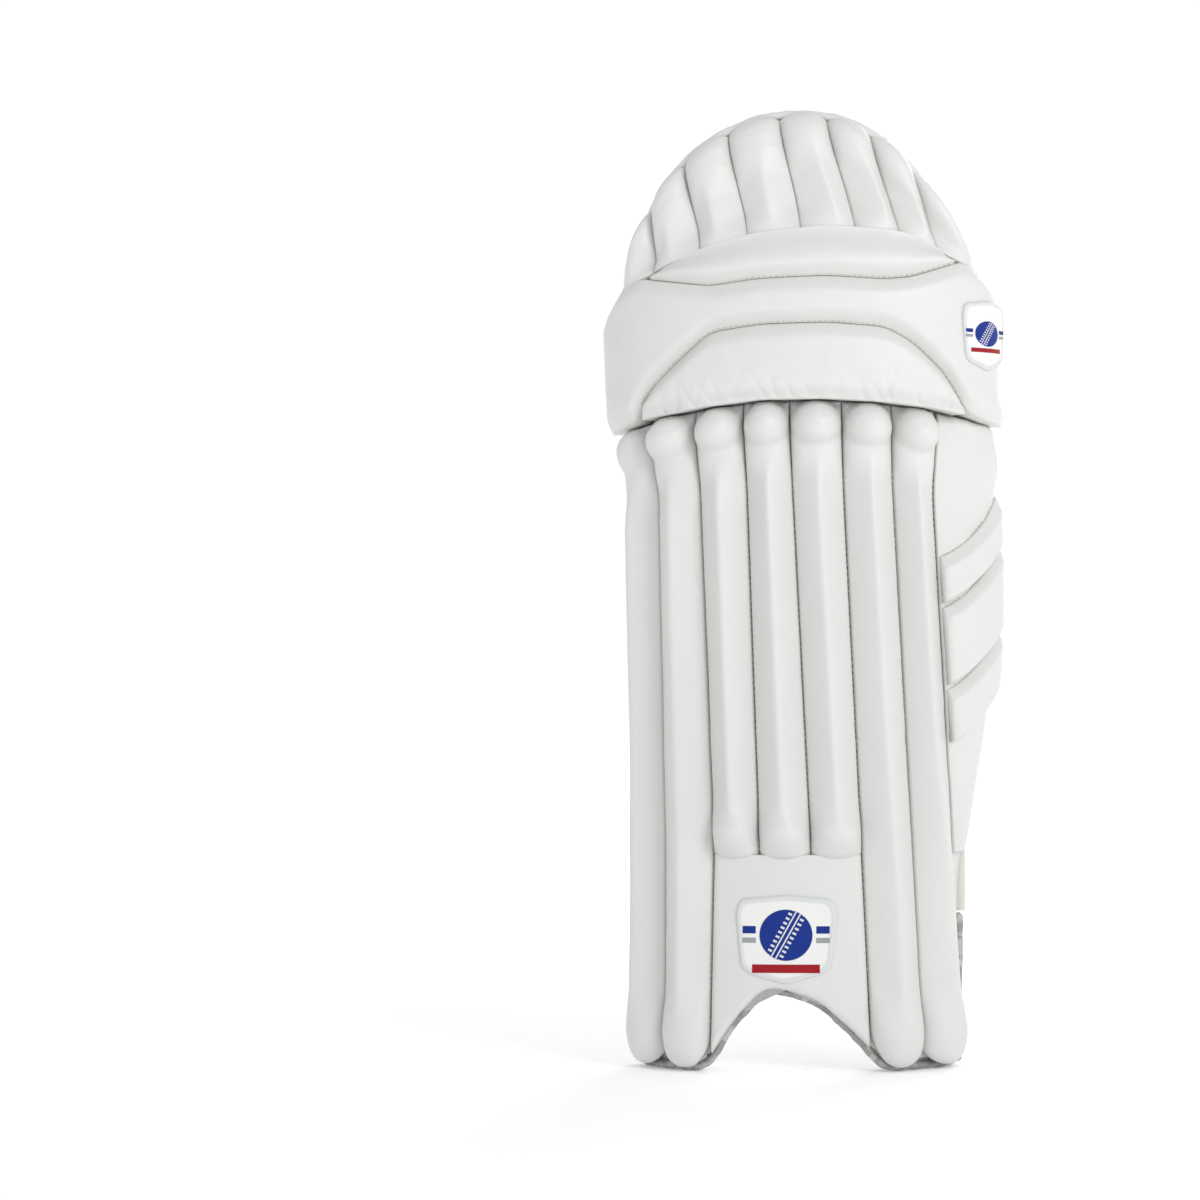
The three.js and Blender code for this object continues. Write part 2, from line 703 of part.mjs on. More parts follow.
// The white edge of the dome
function domeWelt() {
  const points = steps(...weltEnds, 24).map((a) => wrap(a, domeInset(a, weltRadius), bindingOut));
  return binding(points, weltRadius, 26);
}

// The silver binding along the whole lower edge: under one foot, over the instep and under the other
function lowerBinding() {
  const angles = steps(-rimAngle, rimAngle, 28);
  const points = angles.map((a) => wrap(a, notchEdge(a) + bindingRadius, bindingOut));
  return binding(points, bindingRadius, 42);
}

// The silver binding up one side of the shin
function sideBinding(angle) {
  const points = steps(2 * bindingRadius + bindingGap, sideBindingTop * padHeight, 6).map((height) => {
    const beside = wrap(angle, height, bindingOut);
    return beside.add(new THREE.Vector3(0, bindingRadius + gap, 0));
  });
  return binding(points, bindingRadius, 6);
}

// The rearmost surface under a strap: the bolsters' backs, as far inward as they reach at an angle
function bolsterOut(angle, height) {
  const up = height / padHeight;
  let full = 0;
  if (height > kneeBolsterLine('low', angle) && Math.abs(angle) < rimAngle - bolsterMargin) {
    full = kneeBolsterFull(angle);
  } else if (up > shinBolsterFoot) {
    for (const { rows } of shinBolsters) {
      const [from, to] = shinBolsterSides(rows, height);
      const share = (angle - from) / (to - from);
      if (share > 0 && share < 1) full = shinBolsterPad * bolsterRise(share);
    }
  } else {
    for (const { from, to } of footBolsters) {
      const share = (angle - from) / (to - from);
      if (share > 0 && share < 1) full = footBolsterPad * bolsterRise(share);
    }
  }
  return -backingWall - gap - full;
}

const strapLift = 1; // how far a strap stands off what it lies on
const leastTurn = 1.5; // degrees: a strap's line keeps only corners that turn more

// The line of a tight strap in plan, from the inner rim to the outer one, over whatever lies under it
function tightLine(strap) {
  const heightAt = (x) => lerp(strap.innerUp, strap.outerUp, (x / half + 1) / 2) * padHeight;
  const under = [];
  for (const across of steps(-strap.width / 2, strap.width / 2, 4)) {
    for (const angle of steps(-rimAngle, rimAngle, 54)) {
      const height = heightAt(wrap(angle, strap.innerUp * padHeight, 0).x) + across;
      under.push(wrap(angle, height, bolsterOut(angle, height)));
    }
    for (const side of [-1, 1]) {
      const height = heightAt(side * half) + across;
      const reach = side < 0 ? caneEdge : wingPad;
      under.push(wrap(side * rimAngle, height, gap + reach));
    }
  }
  under.sort((a, b) => a.x - b.x || a.y - b.y);
  const line = [];
  for (const point of under) {
    while (line.length > 1) {
      const [a, b] = line.slice(-2);
      if ((b.x - a.x) * (point.y - a.y) - (b.y - a.y) * (point.x - a.x) < 0) break;
      line.pop();
    }
    line.push(new THREE.Vector2(point.x, point.y));
  }
  const turn = (i) => {
    const [a, b, c] = [line[i - 1], line[i], line[i + 1]];
    return radToDeg(Math.abs(b.clone().sub(a).angle() - c.clone().sub(b).angle()) % (2 * Math.PI));
  };
  const isEnd = (i) => i === 0 || i === line.length - 1;
  const bent = line.filter((_, i) => isEnd(i) || Math.min(turn(i), 360 - turn(i)) > leastTurn);
  return bent.map((point) => point.add(new THREE.Vector2(0, strapLift)));
}

// A polyline in plan, with its point and its rearward normal at any x
function planLine(points) {
  const at = (x) => {
    let i = 0;
    while (i < points.length - 2 && x > points[i + 1].x) i += 1;
    const [a, b] = [points[i], points[i + 1]];
    return new THREE.Vector2(x, lerp(a.y, b.y, (x - a.x) / (b.x - a.x)));
  };
  const normal = (x) => {
    const span = 3;
    const along = at(x + span).sub(at(x - span)).normalize();
    return new THREE.Vector2(-along.y, along.x);
  };
  return { at, normal, from: points[0].x, to: points[points.length - 1].x, points };
}

const throatLength = 16; // from a ring's bar to where a strap's layers lie together

// Webbing that runs from a rim to a ring's bar, round the bar and back over itself, as a flat outline.
// The opening between its layers narrows from the bar to what the hooks hold apart.
function foldedOutline(line, rim, bar, back) {
  const side = Math.sign(bar - rim);
  const barRoom = ringWall + 2 * barGap;
  const narrow = throatLength;
  const opening = (x) => lerp(barRoom, hookGap, clamp(Math.abs(bar - x) / narrow, 0, 1));
  const offset = (x, out) => line.at(x).add(line.normal(x).multiplyScalar(out));
  const throat = [bar - side * narrow];
  const stops = (from, to, extra = []) => {
    const kept = [from, to];
    for (const x of [...extra, ...line.points.map((point) => point.x)]) {
      const inside = (x - from) * (x - to) < 0;
      if (inside && kept.every((other) => Math.abs(x - other) > 2)) kept.push(x);
    }
    return kept.sort((a, b) => (a - b) * Math.sign(to - from));
  };
  const around = (radius) => {
    const out = line.normal(bar);
    const along = new THREE.Vector2(out.y, -out.x).multiplyScalar(side);
    const centre = offset(bar, strapWall + barRoom / 2).add(along.clone().multiplyScalar(ringBar / 2 - gap));
    return steps(-90, 90, 6).map((a) => {
      const angle = degToRad(a);
      return centre
        .clone()
        .add(along.clone().multiplyScalar(radius * Math.cos(angle)))
        .add(out.clone().multiplyScalar(radius * Math.sin(angle)));
    });
  };
  return [
    ...stops(rim, bar).slice(0, -1).map((x) => offset(x, 0)),
    ...around(barRoom / 2 + strapWall),
    ...stops(bar, back, throat).slice(1).map((x) => offset(x, 2 * strapWall + opening(x))),
    ...stops(back, bar, throat).slice(0, -1).map((x) => offset(x, strapWall + opening(x))),
    ...around(barRoom / 2).reverse(),
    ...stops(bar, rim).slice(1).map((x) => offset(x, strapWall)),
  ];
}

// A flat outline in plan raised to a strap's width, on the strap's slope
function raise(outline, strap, width) {
  const geometry = new THREE.ExtrudeGeometry(new THREE.Shape(outline), {
    depth: width,
    steps: 1,
    bevelEnabled: false,
  });
  return slope(geometry.translate(0, 0, -width / 2), strap);
}

// Shifts a piece up to its strap's height, which changes from one rim to the other
function slope(geometry, strap) {
  const at = geometry.getAttribute('position');
  for (let i = 0; i < at.count; i += 1) {
    const share = (at.getX(i) / half + 1) / 2;
    at.setZ(i, at.getZ(i) + lerp(strap.innerUp, strap.outerUp, share) * padHeight);
  }
  return facingOut(geometry);
}

// The plastic ring, in the plane of the strap where it hangs
function ring(line, middle, strap) {
  const width = strap.ringGap + 2 * ringBar;
  const height = strap.width + 2 * ringSlack + 2 * ringBar;
  const corner = 5;
  const frame = roundedRectangle(width, height, corner);
  frame.holes.push(roundedRectangle(strap.ringGap, height - 2 * ringBar, 1.5));
  const geometry = new THREE.ExtrudeGeometry(frame, {
    depth: ringWall,
    steps: 1,
    bevelEnabled: false,
    curveSegments: 3,
  });
  const out = line.normal(middle);
  const centre = line.at(middle).add(out.clone().multiplyScalar(strapWall + barGap));
  const along = new THREE.Vector3(out.y, -out.x, 0);
  const basis = new THREE.Matrix4().makeBasis(
    along,
    new THREE.Vector3(0, 0, 1),
    new THREE.Vector3(out.x, out.y, 0),
  );
  return slope(geometry.applyMatrix4(basis.setPosition(centre.x, centre.y, 0)), strap);
}

function roundedRectangle(width, height, corner) {
  const [x, y] = [width / 2, height / 2];
  return new THREE.Shape()
    .moveTo(-x + corner, -y)
    .lineTo(x - corner, -y)
    .quadraticCurveTo(x, -y, x, -y + corner)
    .lineTo(x, y - corner)
    .quadraticCurveTo(x, y, x - corner, y)
    .lineTo(-x + corner, y)
    .quadraticCurveTo(-x, y, -x, y - corner)
    .lineTo(-x, -y + corner)
    .quadraticCurveTo(-x, -y, -x + corner, -y);
}

// A thin piece lying on a strap, between two distances out of its base line
function onStrap(line, strap, rows, from, to) {
  const ends = rows.map((row) => row.along);
  const bends = line.points.map((point) => point.x).filter((x) => x > ends[0] && x < ends[ends.length - 1]);
  const columns = [...ends, ...bends].sort((a, b) => a - b);
  const place = (p, q, t) => {
    const along = columns[p];
    const low = straight(rows, 'along', 'low', along);
    const high = straight(rows, 'along', 'high', along);
    const out = line.at(along).add(line.normal(along).multiplyScalar(t ? to : from));
    return new THREE.Vector3(out.x, out.y, lerp(low, high, q) * strap.width);
  };
  return slope(bentBox(columns.length - 1, 1, 1, place), strap);
}

function addStrap(strap) {
  const line = planLine(tightLine(strap));
  const middle = strap.ring * half;
  const spread = (strap.ringGap + ringBar) / 2;
  const [innerBar, outerBar] = [middle - spread, middle + spread];
  const end = strap.end * half;
  const stubEnd = Math.min(line.to - 2, outerBar + 0.5 * strap.width);
  const long = foldedOutline(line, line.from, innerBar, end);
  const short = foldedOutline(line, line.to, outerBar, stubEnd);
  add(`${strap.name}_strap`, raise(long, strap, strap.width), mesh);
  add(`${strap.name}_strap_stub`, raise(short, strap, strap.width), mesh);
  add(`${strap.name}_ring`, ring(line, middle, strap), plastic, 0.3);
  if (strap.tab) {
    const tab = strap.tab * half;
    const slant = strap.width * 0.18;
    const grip = strap.width * 0.25;
    const rows = [
      { along: tab, low: 0.02, high: 0.46 },
      { along: tab + slant, low: -0.42, high: 0.46 },
      { along: end + grip, low: -0.42, high: 0.46 },
    ];
    const under = strapWall + (hookGap - tabWall) / 2;
    add(`${strap.name}_tab`, onStrap(line, strap, rows, under, under + tabWall), silver);
  } else {
    const rows = patchOutline.map((row) => ({ ...row, along: row.along * half }));
    const over = 2 * strapWall + hookGap + gap;
    add(`${strap.name}_patch`, onStrap(line, strap, rows, over, over + patchWall), plastic);
  }
}

add('backing', backing(), leather);
for (let number = 1; number < caneSeams.length; number += 1) {
  add(`cane_${number}`, cane(number), leather);
}
add('instep_panel', instepPanel(), leather);
add('instep_badge', badge({ ...instepBadge, rest: () => 2 * gap + instepPad }), plastic);
add('knee_band_lower', kneeBand('hem', 'lowSeam', bandEnds.lower), leather);
add('knee_band_middle', kneeBand('lowSeam', 'highSeam', bandEnds.middle), leather);
add('knee_band_upper', kneeBand('highSeam', 'crown', bandEnds.upper), leather);
for (let number = 1; number < rollSeams.length; number += 1) {
  add(`top_roll_${number}`, topRoll(number - 1), leather);
}
add('knee_badge', badge({ ...kneeBadge, rest: kneeBadgeRest }), plastic);
add('wing_panel', wingPanel(), leather);
for (const row of wingRibs) add(row.name, wingRib(row), leather);
add('dome_welt', domeWelt(), leather);
add('lower_binding', lowerBinding(), silver);
add('side_binding_inner', sideBinding(-rimAngle), silver);
add('side_binding_outer', sideBinding(rimAngle), silver);

const underKneeBolster = (angle) => kneeBolsterLine('low', angle) - gap;
for (const { name, rows } of shinBolsters) {
  const sides = (height) => shinBolsterSides(rows, height);
  const low = shinBolsterFoot * padHeight;
  add(name, legBolster({ sides, low, high: underKneeBolster, thickness: shinBolsterPad }), mesh);
}
for (const { name, from, to } of footBolsters) {
  const sides = () => [from, to];
  const high = () => shinBolsterFoot * padHeight - gap;
  add(name, legBolster({ sides, low: 0, high, thickness: footBolsterPad, standing: true }), mesh);
}
for (const part of kneeBolsterParts) {
  const cloth = part.name.endsWith('middle') ? lining : mesh;
  add(part.name, kneeBolster(part), cloth);
}

const [outerRows, innerRows] = shinBolsters.map(({ rows }) => rows);
add(
  'centre_strip',
  liningPiece({
    sides: (height) => [
      shinBolsterSides(innerRows, height)[1] + seamGap,
      shinBolsterSides(outerRows, height)[0] - seamGap,
    ],
    low: () => shinBolsterFoot * padHeight,
    high: underKneeBolster,
    thickness: stripPad,
    columns: 5,
  }),
  blue,
);
add(
  'instep_lining',
  liningPiece({
    sides: () => [footBolsters[1].to + seamGap, footBolsters[0].from - seamGap],
    low: overBinding,
    high: () => shinBolsterFoot * padHeight - gap,
    thickness: instepLiningPad,
    columns: 8,
  }),
  mesh,
);
add(
  'top_lining',
  liningPiece({
    sides: () => [liningMargin - rimAngle, rimAngle - liningMargin],
    low: (angle) => kneeBolsterLine('high', angle) + gap,
    high: (angle) => domeInset(angle, 2 * weltRadius + 2),
    thickness: topLiningPad,
    columns: 22,
  }),
  leather,
);
const wingLinings = [
  { name: 'wing_lining_outer', rows: outerRows, column: 1, rim: rimAngle },
  { name: 'wing_lining_inner', rows: innerRows, column: 0, rim: -rimAngle },
];
for (const { name, rows, column, rim } of wingLinings) {
  const side = Math.sign(rim);
  add(
    name,
    liningPiece({
      sides: (height) => [shinBolsterSides(rows, height)[column] + side * seamGap, rim - side * 0.5],
      low: () => shinBolsterFoot * padHeight,
      high: underKneeBolster,
      thickness: wingLiningWall,
      columns: 4,
    }),
    lining,
  );
}
for (const strap of straps) addStrap(strap);

// The origin is on the floor, under the middle of the whole pad
const box = new THREE.Box3().setFromObject(pad);
const middle = box.getCenter(new THREE.Vector3());
pad.position.set(-middle.x, -middle.y, -box.min.z);

export default pad;
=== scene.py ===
"""A cricket batting pad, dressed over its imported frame. Shapes are worked out in millimetres."""

from functools import partial

import bpy
import numpy as np
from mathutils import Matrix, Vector


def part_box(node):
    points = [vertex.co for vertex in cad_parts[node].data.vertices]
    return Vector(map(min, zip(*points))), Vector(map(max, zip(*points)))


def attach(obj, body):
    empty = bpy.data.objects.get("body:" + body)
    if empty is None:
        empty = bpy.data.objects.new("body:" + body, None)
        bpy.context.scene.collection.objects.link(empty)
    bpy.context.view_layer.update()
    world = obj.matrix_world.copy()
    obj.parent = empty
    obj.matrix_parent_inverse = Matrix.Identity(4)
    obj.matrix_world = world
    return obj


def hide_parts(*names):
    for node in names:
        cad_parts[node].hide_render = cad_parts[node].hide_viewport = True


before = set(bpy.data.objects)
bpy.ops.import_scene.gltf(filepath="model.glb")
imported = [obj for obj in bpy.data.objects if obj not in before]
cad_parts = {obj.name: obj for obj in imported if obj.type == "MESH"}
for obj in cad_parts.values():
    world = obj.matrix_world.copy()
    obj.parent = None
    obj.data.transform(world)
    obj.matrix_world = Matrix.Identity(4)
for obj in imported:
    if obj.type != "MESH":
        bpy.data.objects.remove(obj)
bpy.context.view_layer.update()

MM = 0.001

# Sizes of the pad, as its source has them
PAD_HEIGHT = 740
HALF = 155
WRAP_DEPTH = 70
RIM = 82
BACKING_WALL = 3
SEAM_OUT = 4
CANE_RIDGE = 21
CANE_FOOT = 30
CANE_STOP = 0.222
CANE_EDGE = 5
ROLL_RIDGE = 20
KNEE_PAD = 34
KNEE_SIDE_PAD = 23
KNEE_OUTER_PAD = 27
WING_PAD = 6
WING_EDGE = 1.5
RIB_PAD = 8
INSTEP_PAD = 8
INSTEP_EDGE = 2.2
SHIN_PAD = 46
FOOT_PAD = 30
KNEE_BOLSTER_PAD = 44
KNEE_BOLSTER_END = 9
STRIP_PAD = 6
INSTEP_LINING_PAD = 7
TOP_LINING_PAD = 6
TOP_LINING_MARGIN = 8
WING_LINING_WALL = 2
BINDING_RADIUS = 3.5
WELT_RADIUS = 4
STRAP_WALL = 1.8
HOOK_GAP = 1.6
TAB_WALL = 0.9
PATCH_WALL = 1.6
RING_BAR = 4
RING_WALL = 3
RING_SLACK = 1.2
BAR_GAP = 0.7
GAP = 0.8
SEAM_GAP = 0.35
BOLSTER_FACE = -BACKING_WALL - GAP
BINDING_OUT = -BACKING_WALL / 2
SHIN_BOLSTER_FOOT = 0.168
WING_FOOT = 0.225
SIDE_BINDING_FOOT = 2.5
SIDE_BINDING_TOP = 0.16
DOME_SHOULDER = 0.77
DOME_POWER = 1.2

# Sections of the wrap: height, reaches to the inner and outer side, depth and lean, as shares
SECTIONS = np.array(
    [
        (0.0, 0.795, 0.775, 0.97, -0.06),
        (0.1, 0.795, 0.778, 0.98, -0.03),
        (0.2, 0.79, 0.79, 1.0, 0),
        (0.26, 0.79, 0.83, 1.0, 0),
        (0.34, 0.79, 0.895, 1.0, 0),
        (0.42, 0.8, 0.94, 1.0, 0),
        (0.5, 0.81, 0.95, 1.0, 0),
        (0.58, 0.82, 0.945, 0.99, 0),
        (0.64, 0.835, 0.915, 0.97, 0),
        (0.7, 0.855, 0.86, 0.93, 0),
        (0.77, 0.865, 0.85, 0.91, 0),
        (0.82, 0.88, 0.86, 0.9, 0),
        (0.87, 0.93, 0.89, 0.87, 0.01),
        (0.93, 1.0, 0.915, 0.81, 0.03),
        (1.0, 1.04, 0.96, 0.74, 0.06),
    ]
)

# Seams between the canes at four heights, as shares of half the width
SEAM_HEIGHTS = (0.034, 0.24, 0.6, 0.665)
CANE_SEAMS = (
    (-0.86, -0.87, -0.91, -0.93),
    (-0.671, -0.671, -0.706, -0.748),
    (-0.452, -0.432, -0.5, -0.529),
    (-0.2, -0.206, -0.268, -0.288),
    (0.06, 0.05, -0.039, -0.055),
    (0.352, 0.303, 0.216, 0.206),
    (0.606, 0.555, 0.461, 0.455),
    (0.79, 0.755, 0.658, 0.677),
)
SHORT_CANES = (3, 4, 5)

# The knee roll round the wrap: angles, and the shares of the height of its hem, two seams and crown
KNEE_ROLL = np.array(
    [
        (-82, 0.662, 0.662, 0.775, 0.775),
        (-68, 0.668, 0.668, 0.808, 0.808),
        (-59, 0.674, 0.675, 0.82, 0.82),
        (-54, 0.677, 0.7, 0.823, 0.825),
        (-28, 0.689, 0.765, 0.813, 0.855),
        (-12, 0.695, 0.773, 0.82, 0.869),
        (8, 0.696, 0.775, 0.823, 0.876),
        (26, 0.693, 0.771, 0.82, 0.873),
        (35, 0.69, 0.757, 0.823, 0.868),
        (49, 0.685, 0.722, 0.836, 0.85),
        (55, 0.682, 0.694, 0.841, 0.843),
        (59, 0.681, 0.682, 0.838, 0.838),
        (68, 0.676, 0.676, 0.827, 0.827),
        (82, 0.67, 0.67, 0.797, 0.797),
    ]
)
KNEE_LINES = {"hem": 1, "low_seam": 2, "high_seam": 3, "crown": 4}
CORNER_DEGREES = 3
LOWER_BAND = (-56, 56.5)
UPPER_BAND = (-50, 52)

# Seams between the rolls above the knee, in degrees at the crown and at the dome
ROLL_SEAMS = (
    (-71, -62),
    (-50, -49),
    (-31, -34.5),
    (-15.5, -20.5),
    (0.3, -6),
    (17, 7.5),
    (31.5, 21),
    (46.5, 36),
    (70, 58),
)

# Where the ridge of each of those rolls lies across it, at the crown and at the dome
ROLL_RIDGES = (
    (0.5, 0.5),
    (0.46, 0.46),
    (0.42, 0.4),
    (0.46, 0.54),
    (0.7, 0.5),
    (0.76, 0.6),
    (0.7, 0.6),
    (0.5, 0.5),
)

# The lower edge over the instep: shares of half the width and of the height
NOTCH = np.array(
    [
        (-0.5, 0),
        (-0.44, 0.01),
        (-0.374, 0.033),
        (-0.303, 0.053),
        (-0.2, 0.075),
        (-0.11, 0.08),
        (0.08, 0.068),
        (0.204, 0.047),
        (0.286, 0.03),
        (0.346, 0.016),
        (0.4, 0.004),
        (0.46, 0),
    ]
)

# Ribs on the wing: the heights of their lower and upper seam beside the cane and at the rim
WING_RIBS = {
    "wing_rib_upper": (0.486, 0.534, 0.553, 0.598),
    "wing_rib_middle": (0.401, 0.481, 0.464, 0.548),
    "wing_rib_lower": (0.341, 0.396, 0.4, 0.459),
}

# Bolsters along the leg: heights, and the angles of both sides there
SHIN_BOLSTERS = {
    "shin_bolster_outer": ((0.15, 0.45, 0.63), (9.5, 9.5, 10.5), (57, 56, 46)),
    "shin_bolster_inner": ((0.15, 0.45, 0.63), (-61, -61, -54), (-22.5, -22, -21)),
}
FOOT_BOLSTER_SIDE = 73
FOOT_BOLSTERS = {
    "foot_bolster_outer": (25, FOOT_BOLSTER_SIDE),
    "foot_bolster_inner": (-FOOT_BOLSTER_SIDE, -37),
}
KNEE_BOLSTER_ANGLES = (-82, -25, 15, 82)
KNEE_BOLSTER_LINES = {"low": (0.615, 0.625, 0.631, 0.644), "high": (0.753, 0.79, 0.802, 0.793)}
BOLSTER_END = 75
KNEE_BOLSTERS = {
    "knee_bolster_inner": (-BOLSTER_END, -26),
    "knee_bolster_middle": (-26, 20),
    "knee_bolster_outer": (20, BOLSTER_END),
}

# Straps across the inside: width, heights at both sides, ring, end and tab, the ring's opening
STRAPS = {
    "knee": {"width": 29, "ups": (0.682, 0.712), "ring": 0.735, "end": -0.42, "tab": -0.53, "opening": 17},
    "calf": {"width": 59, "ups": (0.489, 0.515), "ring": 0.616, "end": -0.62, "tab": None, "opening": 18},
    "ankle": {"width": 59, "ups": (0.214, 0.199), "ring": 0.52, "end": -0.33, "tab": -0.5, "opening": 20},
}
STRAP_LIFT = 1
THROAT = 16

# The patch on the calf strap: places along half the width, its low and high edge in strap widths
PATCH_OUTLINE = np.array(
    [
        (-0.74, 0.2, 0.3),
        (-0.6, -0.36, 0.5),
        (-0.19, -0.37, 0.49),
        (-0.15, -0.3, 0.49),
        (-0.06, 0.03, 0.48),
        (0.19, 0.04, 0.47),
        (0.3, 0.04, 0.14),
    ]
)


# Numbers


def lerp(low, high, share):
    """The value a share of the way from low to high."""
    return low + (high - low) * share


def ease(low, high, at):
    """0 below low and 1 above high, with a smooth S between them."""
    t = np.clip((at - low) / (high - low), 0, 1)
    return t * t * (3 - 2 * t)


def pillow(share, power=0.5):
    """A pillow's height across it: the parabola 4s(1-s), 0 at both seams and 1 between, to a power."""
    return np.maximum(0, 4 * share * (1 - share)) ** power


def quarter_round(share):
    """A quarter circle's rise: steep at 0 and level from 1 on."""
    return np.sqrt(1 - (1 - np.clip(share, 0, 1)) ** 2)


def to_side(share):
    """The share of the way from the nearer of two sides."""
    return np.minimum(share, 1 - share)


def lengths_along(path):
    """The length from a path's start to each of its points."""
    return np.concatenate([[0], np.cumsum(np.linalg.norm(np.diff(path, axis=0), axis=1))])


def units(vectors):
    """The same directions at a length of 1."""
    return vectors / np.maximum(np.linalg.norm(vectors, axis=1, keepdims=True), 1e-9)


def smooth(keys, values, at):
    """A smooth curve through a table: cubics whose slope at each key is that of the chord across it."""
    keys, values = np.asarray(keys, float), np.asarray(values, float)
    last = len(keys) - 1
    i = np.clip(np.searchsorted(keys, at) - 1, 0, last - 1)
    before, after = np.maximum(np.arange(last + 1) - 1, 0), np.minimum(np.arange(last + 1) + 1, last)
    slope = (values[after] - values[before]) / (keys[after] - keys[before])
    width = keys[i + 1] - keys[i]
    t = np.clip((at - keys[i]) / width, 0, 1)
    bend = width * t * (1 - t) * ((1 - t) * slope[i] - t * slope[i + 1])
    return lerp(values[i], values[i + 1], t * t * (3 - 2 * t)) + bend


def rounded(keys, values, at, reach):
    """Straight lines through a table with rounded corners: the mean of nine places within the reach."""
    near = np.asarray(at, float)[..., None] + np.linspace(-reach, reach, 9)
    return np.interp(near, keys, values).mean(-1)


def cell_number(cells, seed):
    """A fixed number from 0 to 1 for each whole-numbered cell, from mixed products of its indices."""
    primes = np.array([73856093, 19349663, 83492791])[: cells.shape[-1]]
    mixed = (cells * primes).sum(-1) + seed * 2654435761
    mixed = (mixed ^ (mixed >> 13)) * 1274126177
    return ((mixed ^ (mixed >> 16)) & 0xFFFF) / 0xFFFF


def noise(points, seed=0):
    """Smooth noise from -1 to 1: numbers at the corners of each unit cell, blended by cubics across it."""
    base = np.floor(points).astype(np.int64)
    part = points - base
    part = part * part * (3 - 2 * part)
    total = 0
    for corner in np.ndindex(*(2,) * points.shape[-1]):
        weight = np.where(np.array(corner) == 1, part, 1 - part).prod(-1)
        total = total + weight * cell_number(base + np.array(corner), seed)
    return 2 * total - 1


def field(*axes, seed=0):
    """Noise over coordinates that are given one by one."""
    return noise(np.stack(np.broadcast_arrays(*axes), -1), seed)


# The wrap round the leg


def section(height):
    """Reaches to both sides, depth and lean of the wrap at a height, in millimetres."""
    up = height / PAD_HEIGHT
    sizes = (HALF, HALF, WRAP_DEPTH, WRAP_DEPTH)
    return [smooth(SECTIONS[:, 0], SECTIONS[:, k + 1], up) * size for k, size in enumerate(sizes)]


def bare_wrap(angle, height, out):
    """A point on half an ellipse at an angle from the front, moved outwards along the ellipse's normal."""
    angle, height, out = np.broadcast_arrays(np.asarray(angle, float), height, out)
    inner, outer, depth, lean = section(height)
    reach = np.where(angle < 0, inner, outer)
    sin, cos = np.sin(np.radians(angle)), np.cos(np.radians(angle))
    length = np.hypot(depth * sin, reach * cos)
    x = reach * sin + out * depth * sin / length
    y = lean - depth * cos - out * reach * cos / length
    return np.stack([x, y, height], -1)


LEVELS = SECTIONS[:, 0] * PAD_HEIGHT
RIM_REACH = bare_wrap(RIM, LEVELS, 0)[:, 0].max()
backing_low, backing_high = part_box("backing")
MIDDLE = np.array([backing_high[0] / MM - RIM_REACH, backing_low[1] / MM + WRAP_DEPTH, 0])


def wrap(angle, height, out):
    """The same point in the row's frame, where the whole pad's middle is the origin."""
    return bare_wrap(angle, height, out) + MIDDLE


def row_width(angle, height, out):
    """The straight width of each row of a grid on the wrap, at a distance out."""
    first = wrap(angle[:, :1], height[:, :1], out)
    return np.linalg.norm(wrap(angle[:, -1:], height[:, -1:], out) - first, axis=-1)


def degrees_of(length, angle, height):
    """Degrees that a length along the wrap takes at an angle."""
    inner, outer, depth, _ = section(height)
    reach = np.where(np.asarray(angle) < 0, inner, outer)
    a = np.radians(angle)
    return np.degrees(length / np.hypot(reach * np.cos(a), depth * np.sin(a)))


def angle_at(x, height):
    """The angle at which the sewn surface is this far to the side, kept inside the rims."""
    inner, outer, _, _ = section(height)
    reach = np.where(x < 0, inner, outer) + SEAM_OUT
    limit = np.sin(np.radians(RIM))
    return np.degrees(np.arcsin(np.clip(x / reach, -limit, limit)))


def cane_seam(seam, height):
    """The angle of a seam between two canes at a height."""
    side = rounded(SEAM_HEIGHTS, CANE_SEAMS[seam], height / PAD_HEIGHT, 0.02)
    return angle_at(side * HALF, height)


def knee_line(name, angle):
    """The height of one of the knee roll's lines at an angle."""
    return rounded(KNEE_ROLL[:, 0], KNEE_ROLL[:, KNEE_LINES[name]], angle, CORNER_DEGREES) * PAD_HEIGHT


def bolster_line(name, angle):
    """The height of the lower or upper edge of the bolster behind the knee."""
    return smooth(KNEE_BOLSTER_ANGLES, KNEE_BOLSTER_LINES[name], angle) * PAD_HEIGHT


def dome_inset(angle, inset):
    """The height this far inside the dome's edge, square to it. The edge falls as a cosine's power."""
    a = np.radians(angle)
    drop = PAD_HEIGHT * (1 - DOME_SHOULDER)
    edge = PAD_HEIGHT - drop + drop * np.cos(a) ** DOME_POWER
    inner, outer, depth, _ = section(edge)
    reach = np.where(np.asarray(angle) < 0, inner, outer)
    fall = drop * DOME_POWER * np.cos(a) ** (DOME_POWER - 1) * np.sin(a)
    return edge - inset * np.hypot(1, fall / np.hypot(reach * np.cos(a), depth * np.sin(a)))


def notch_edge(angle):
    """The height of the lower edge at an angle: the notch over the instep, and the floor beside it."""
    side = bare_wrap(angle, 0, 0)[..., 0] / HALF
    inside = (side > NOTCH[0, 0]) & (side < NOTCH[-1, 0])
    return np.where(inside, smooth(NOTCH[:, 0], NOTCH[:, 1], side) * PAD_HEIGHT, 0)


# Meshes


def quads(rows, columns, close_rows, close_columns):
    """Index quads of a grid of vertices, joined round in either direction where asked."""
    r = np.arange(rows if close_rows else rows - 1)[:, None]
    c = np.arange(columns if close_columns else columns - 1)[None, :]
    r2, c2 = (r + 1) % rows, (c + 1) % columns
    corners = [r * columns + c, r * columns + c2, r2 * columns + c2, r2 * columns + c]
    return np.stack(np.broadcast_arrays(*corners), -1).reshape(-1, 4)


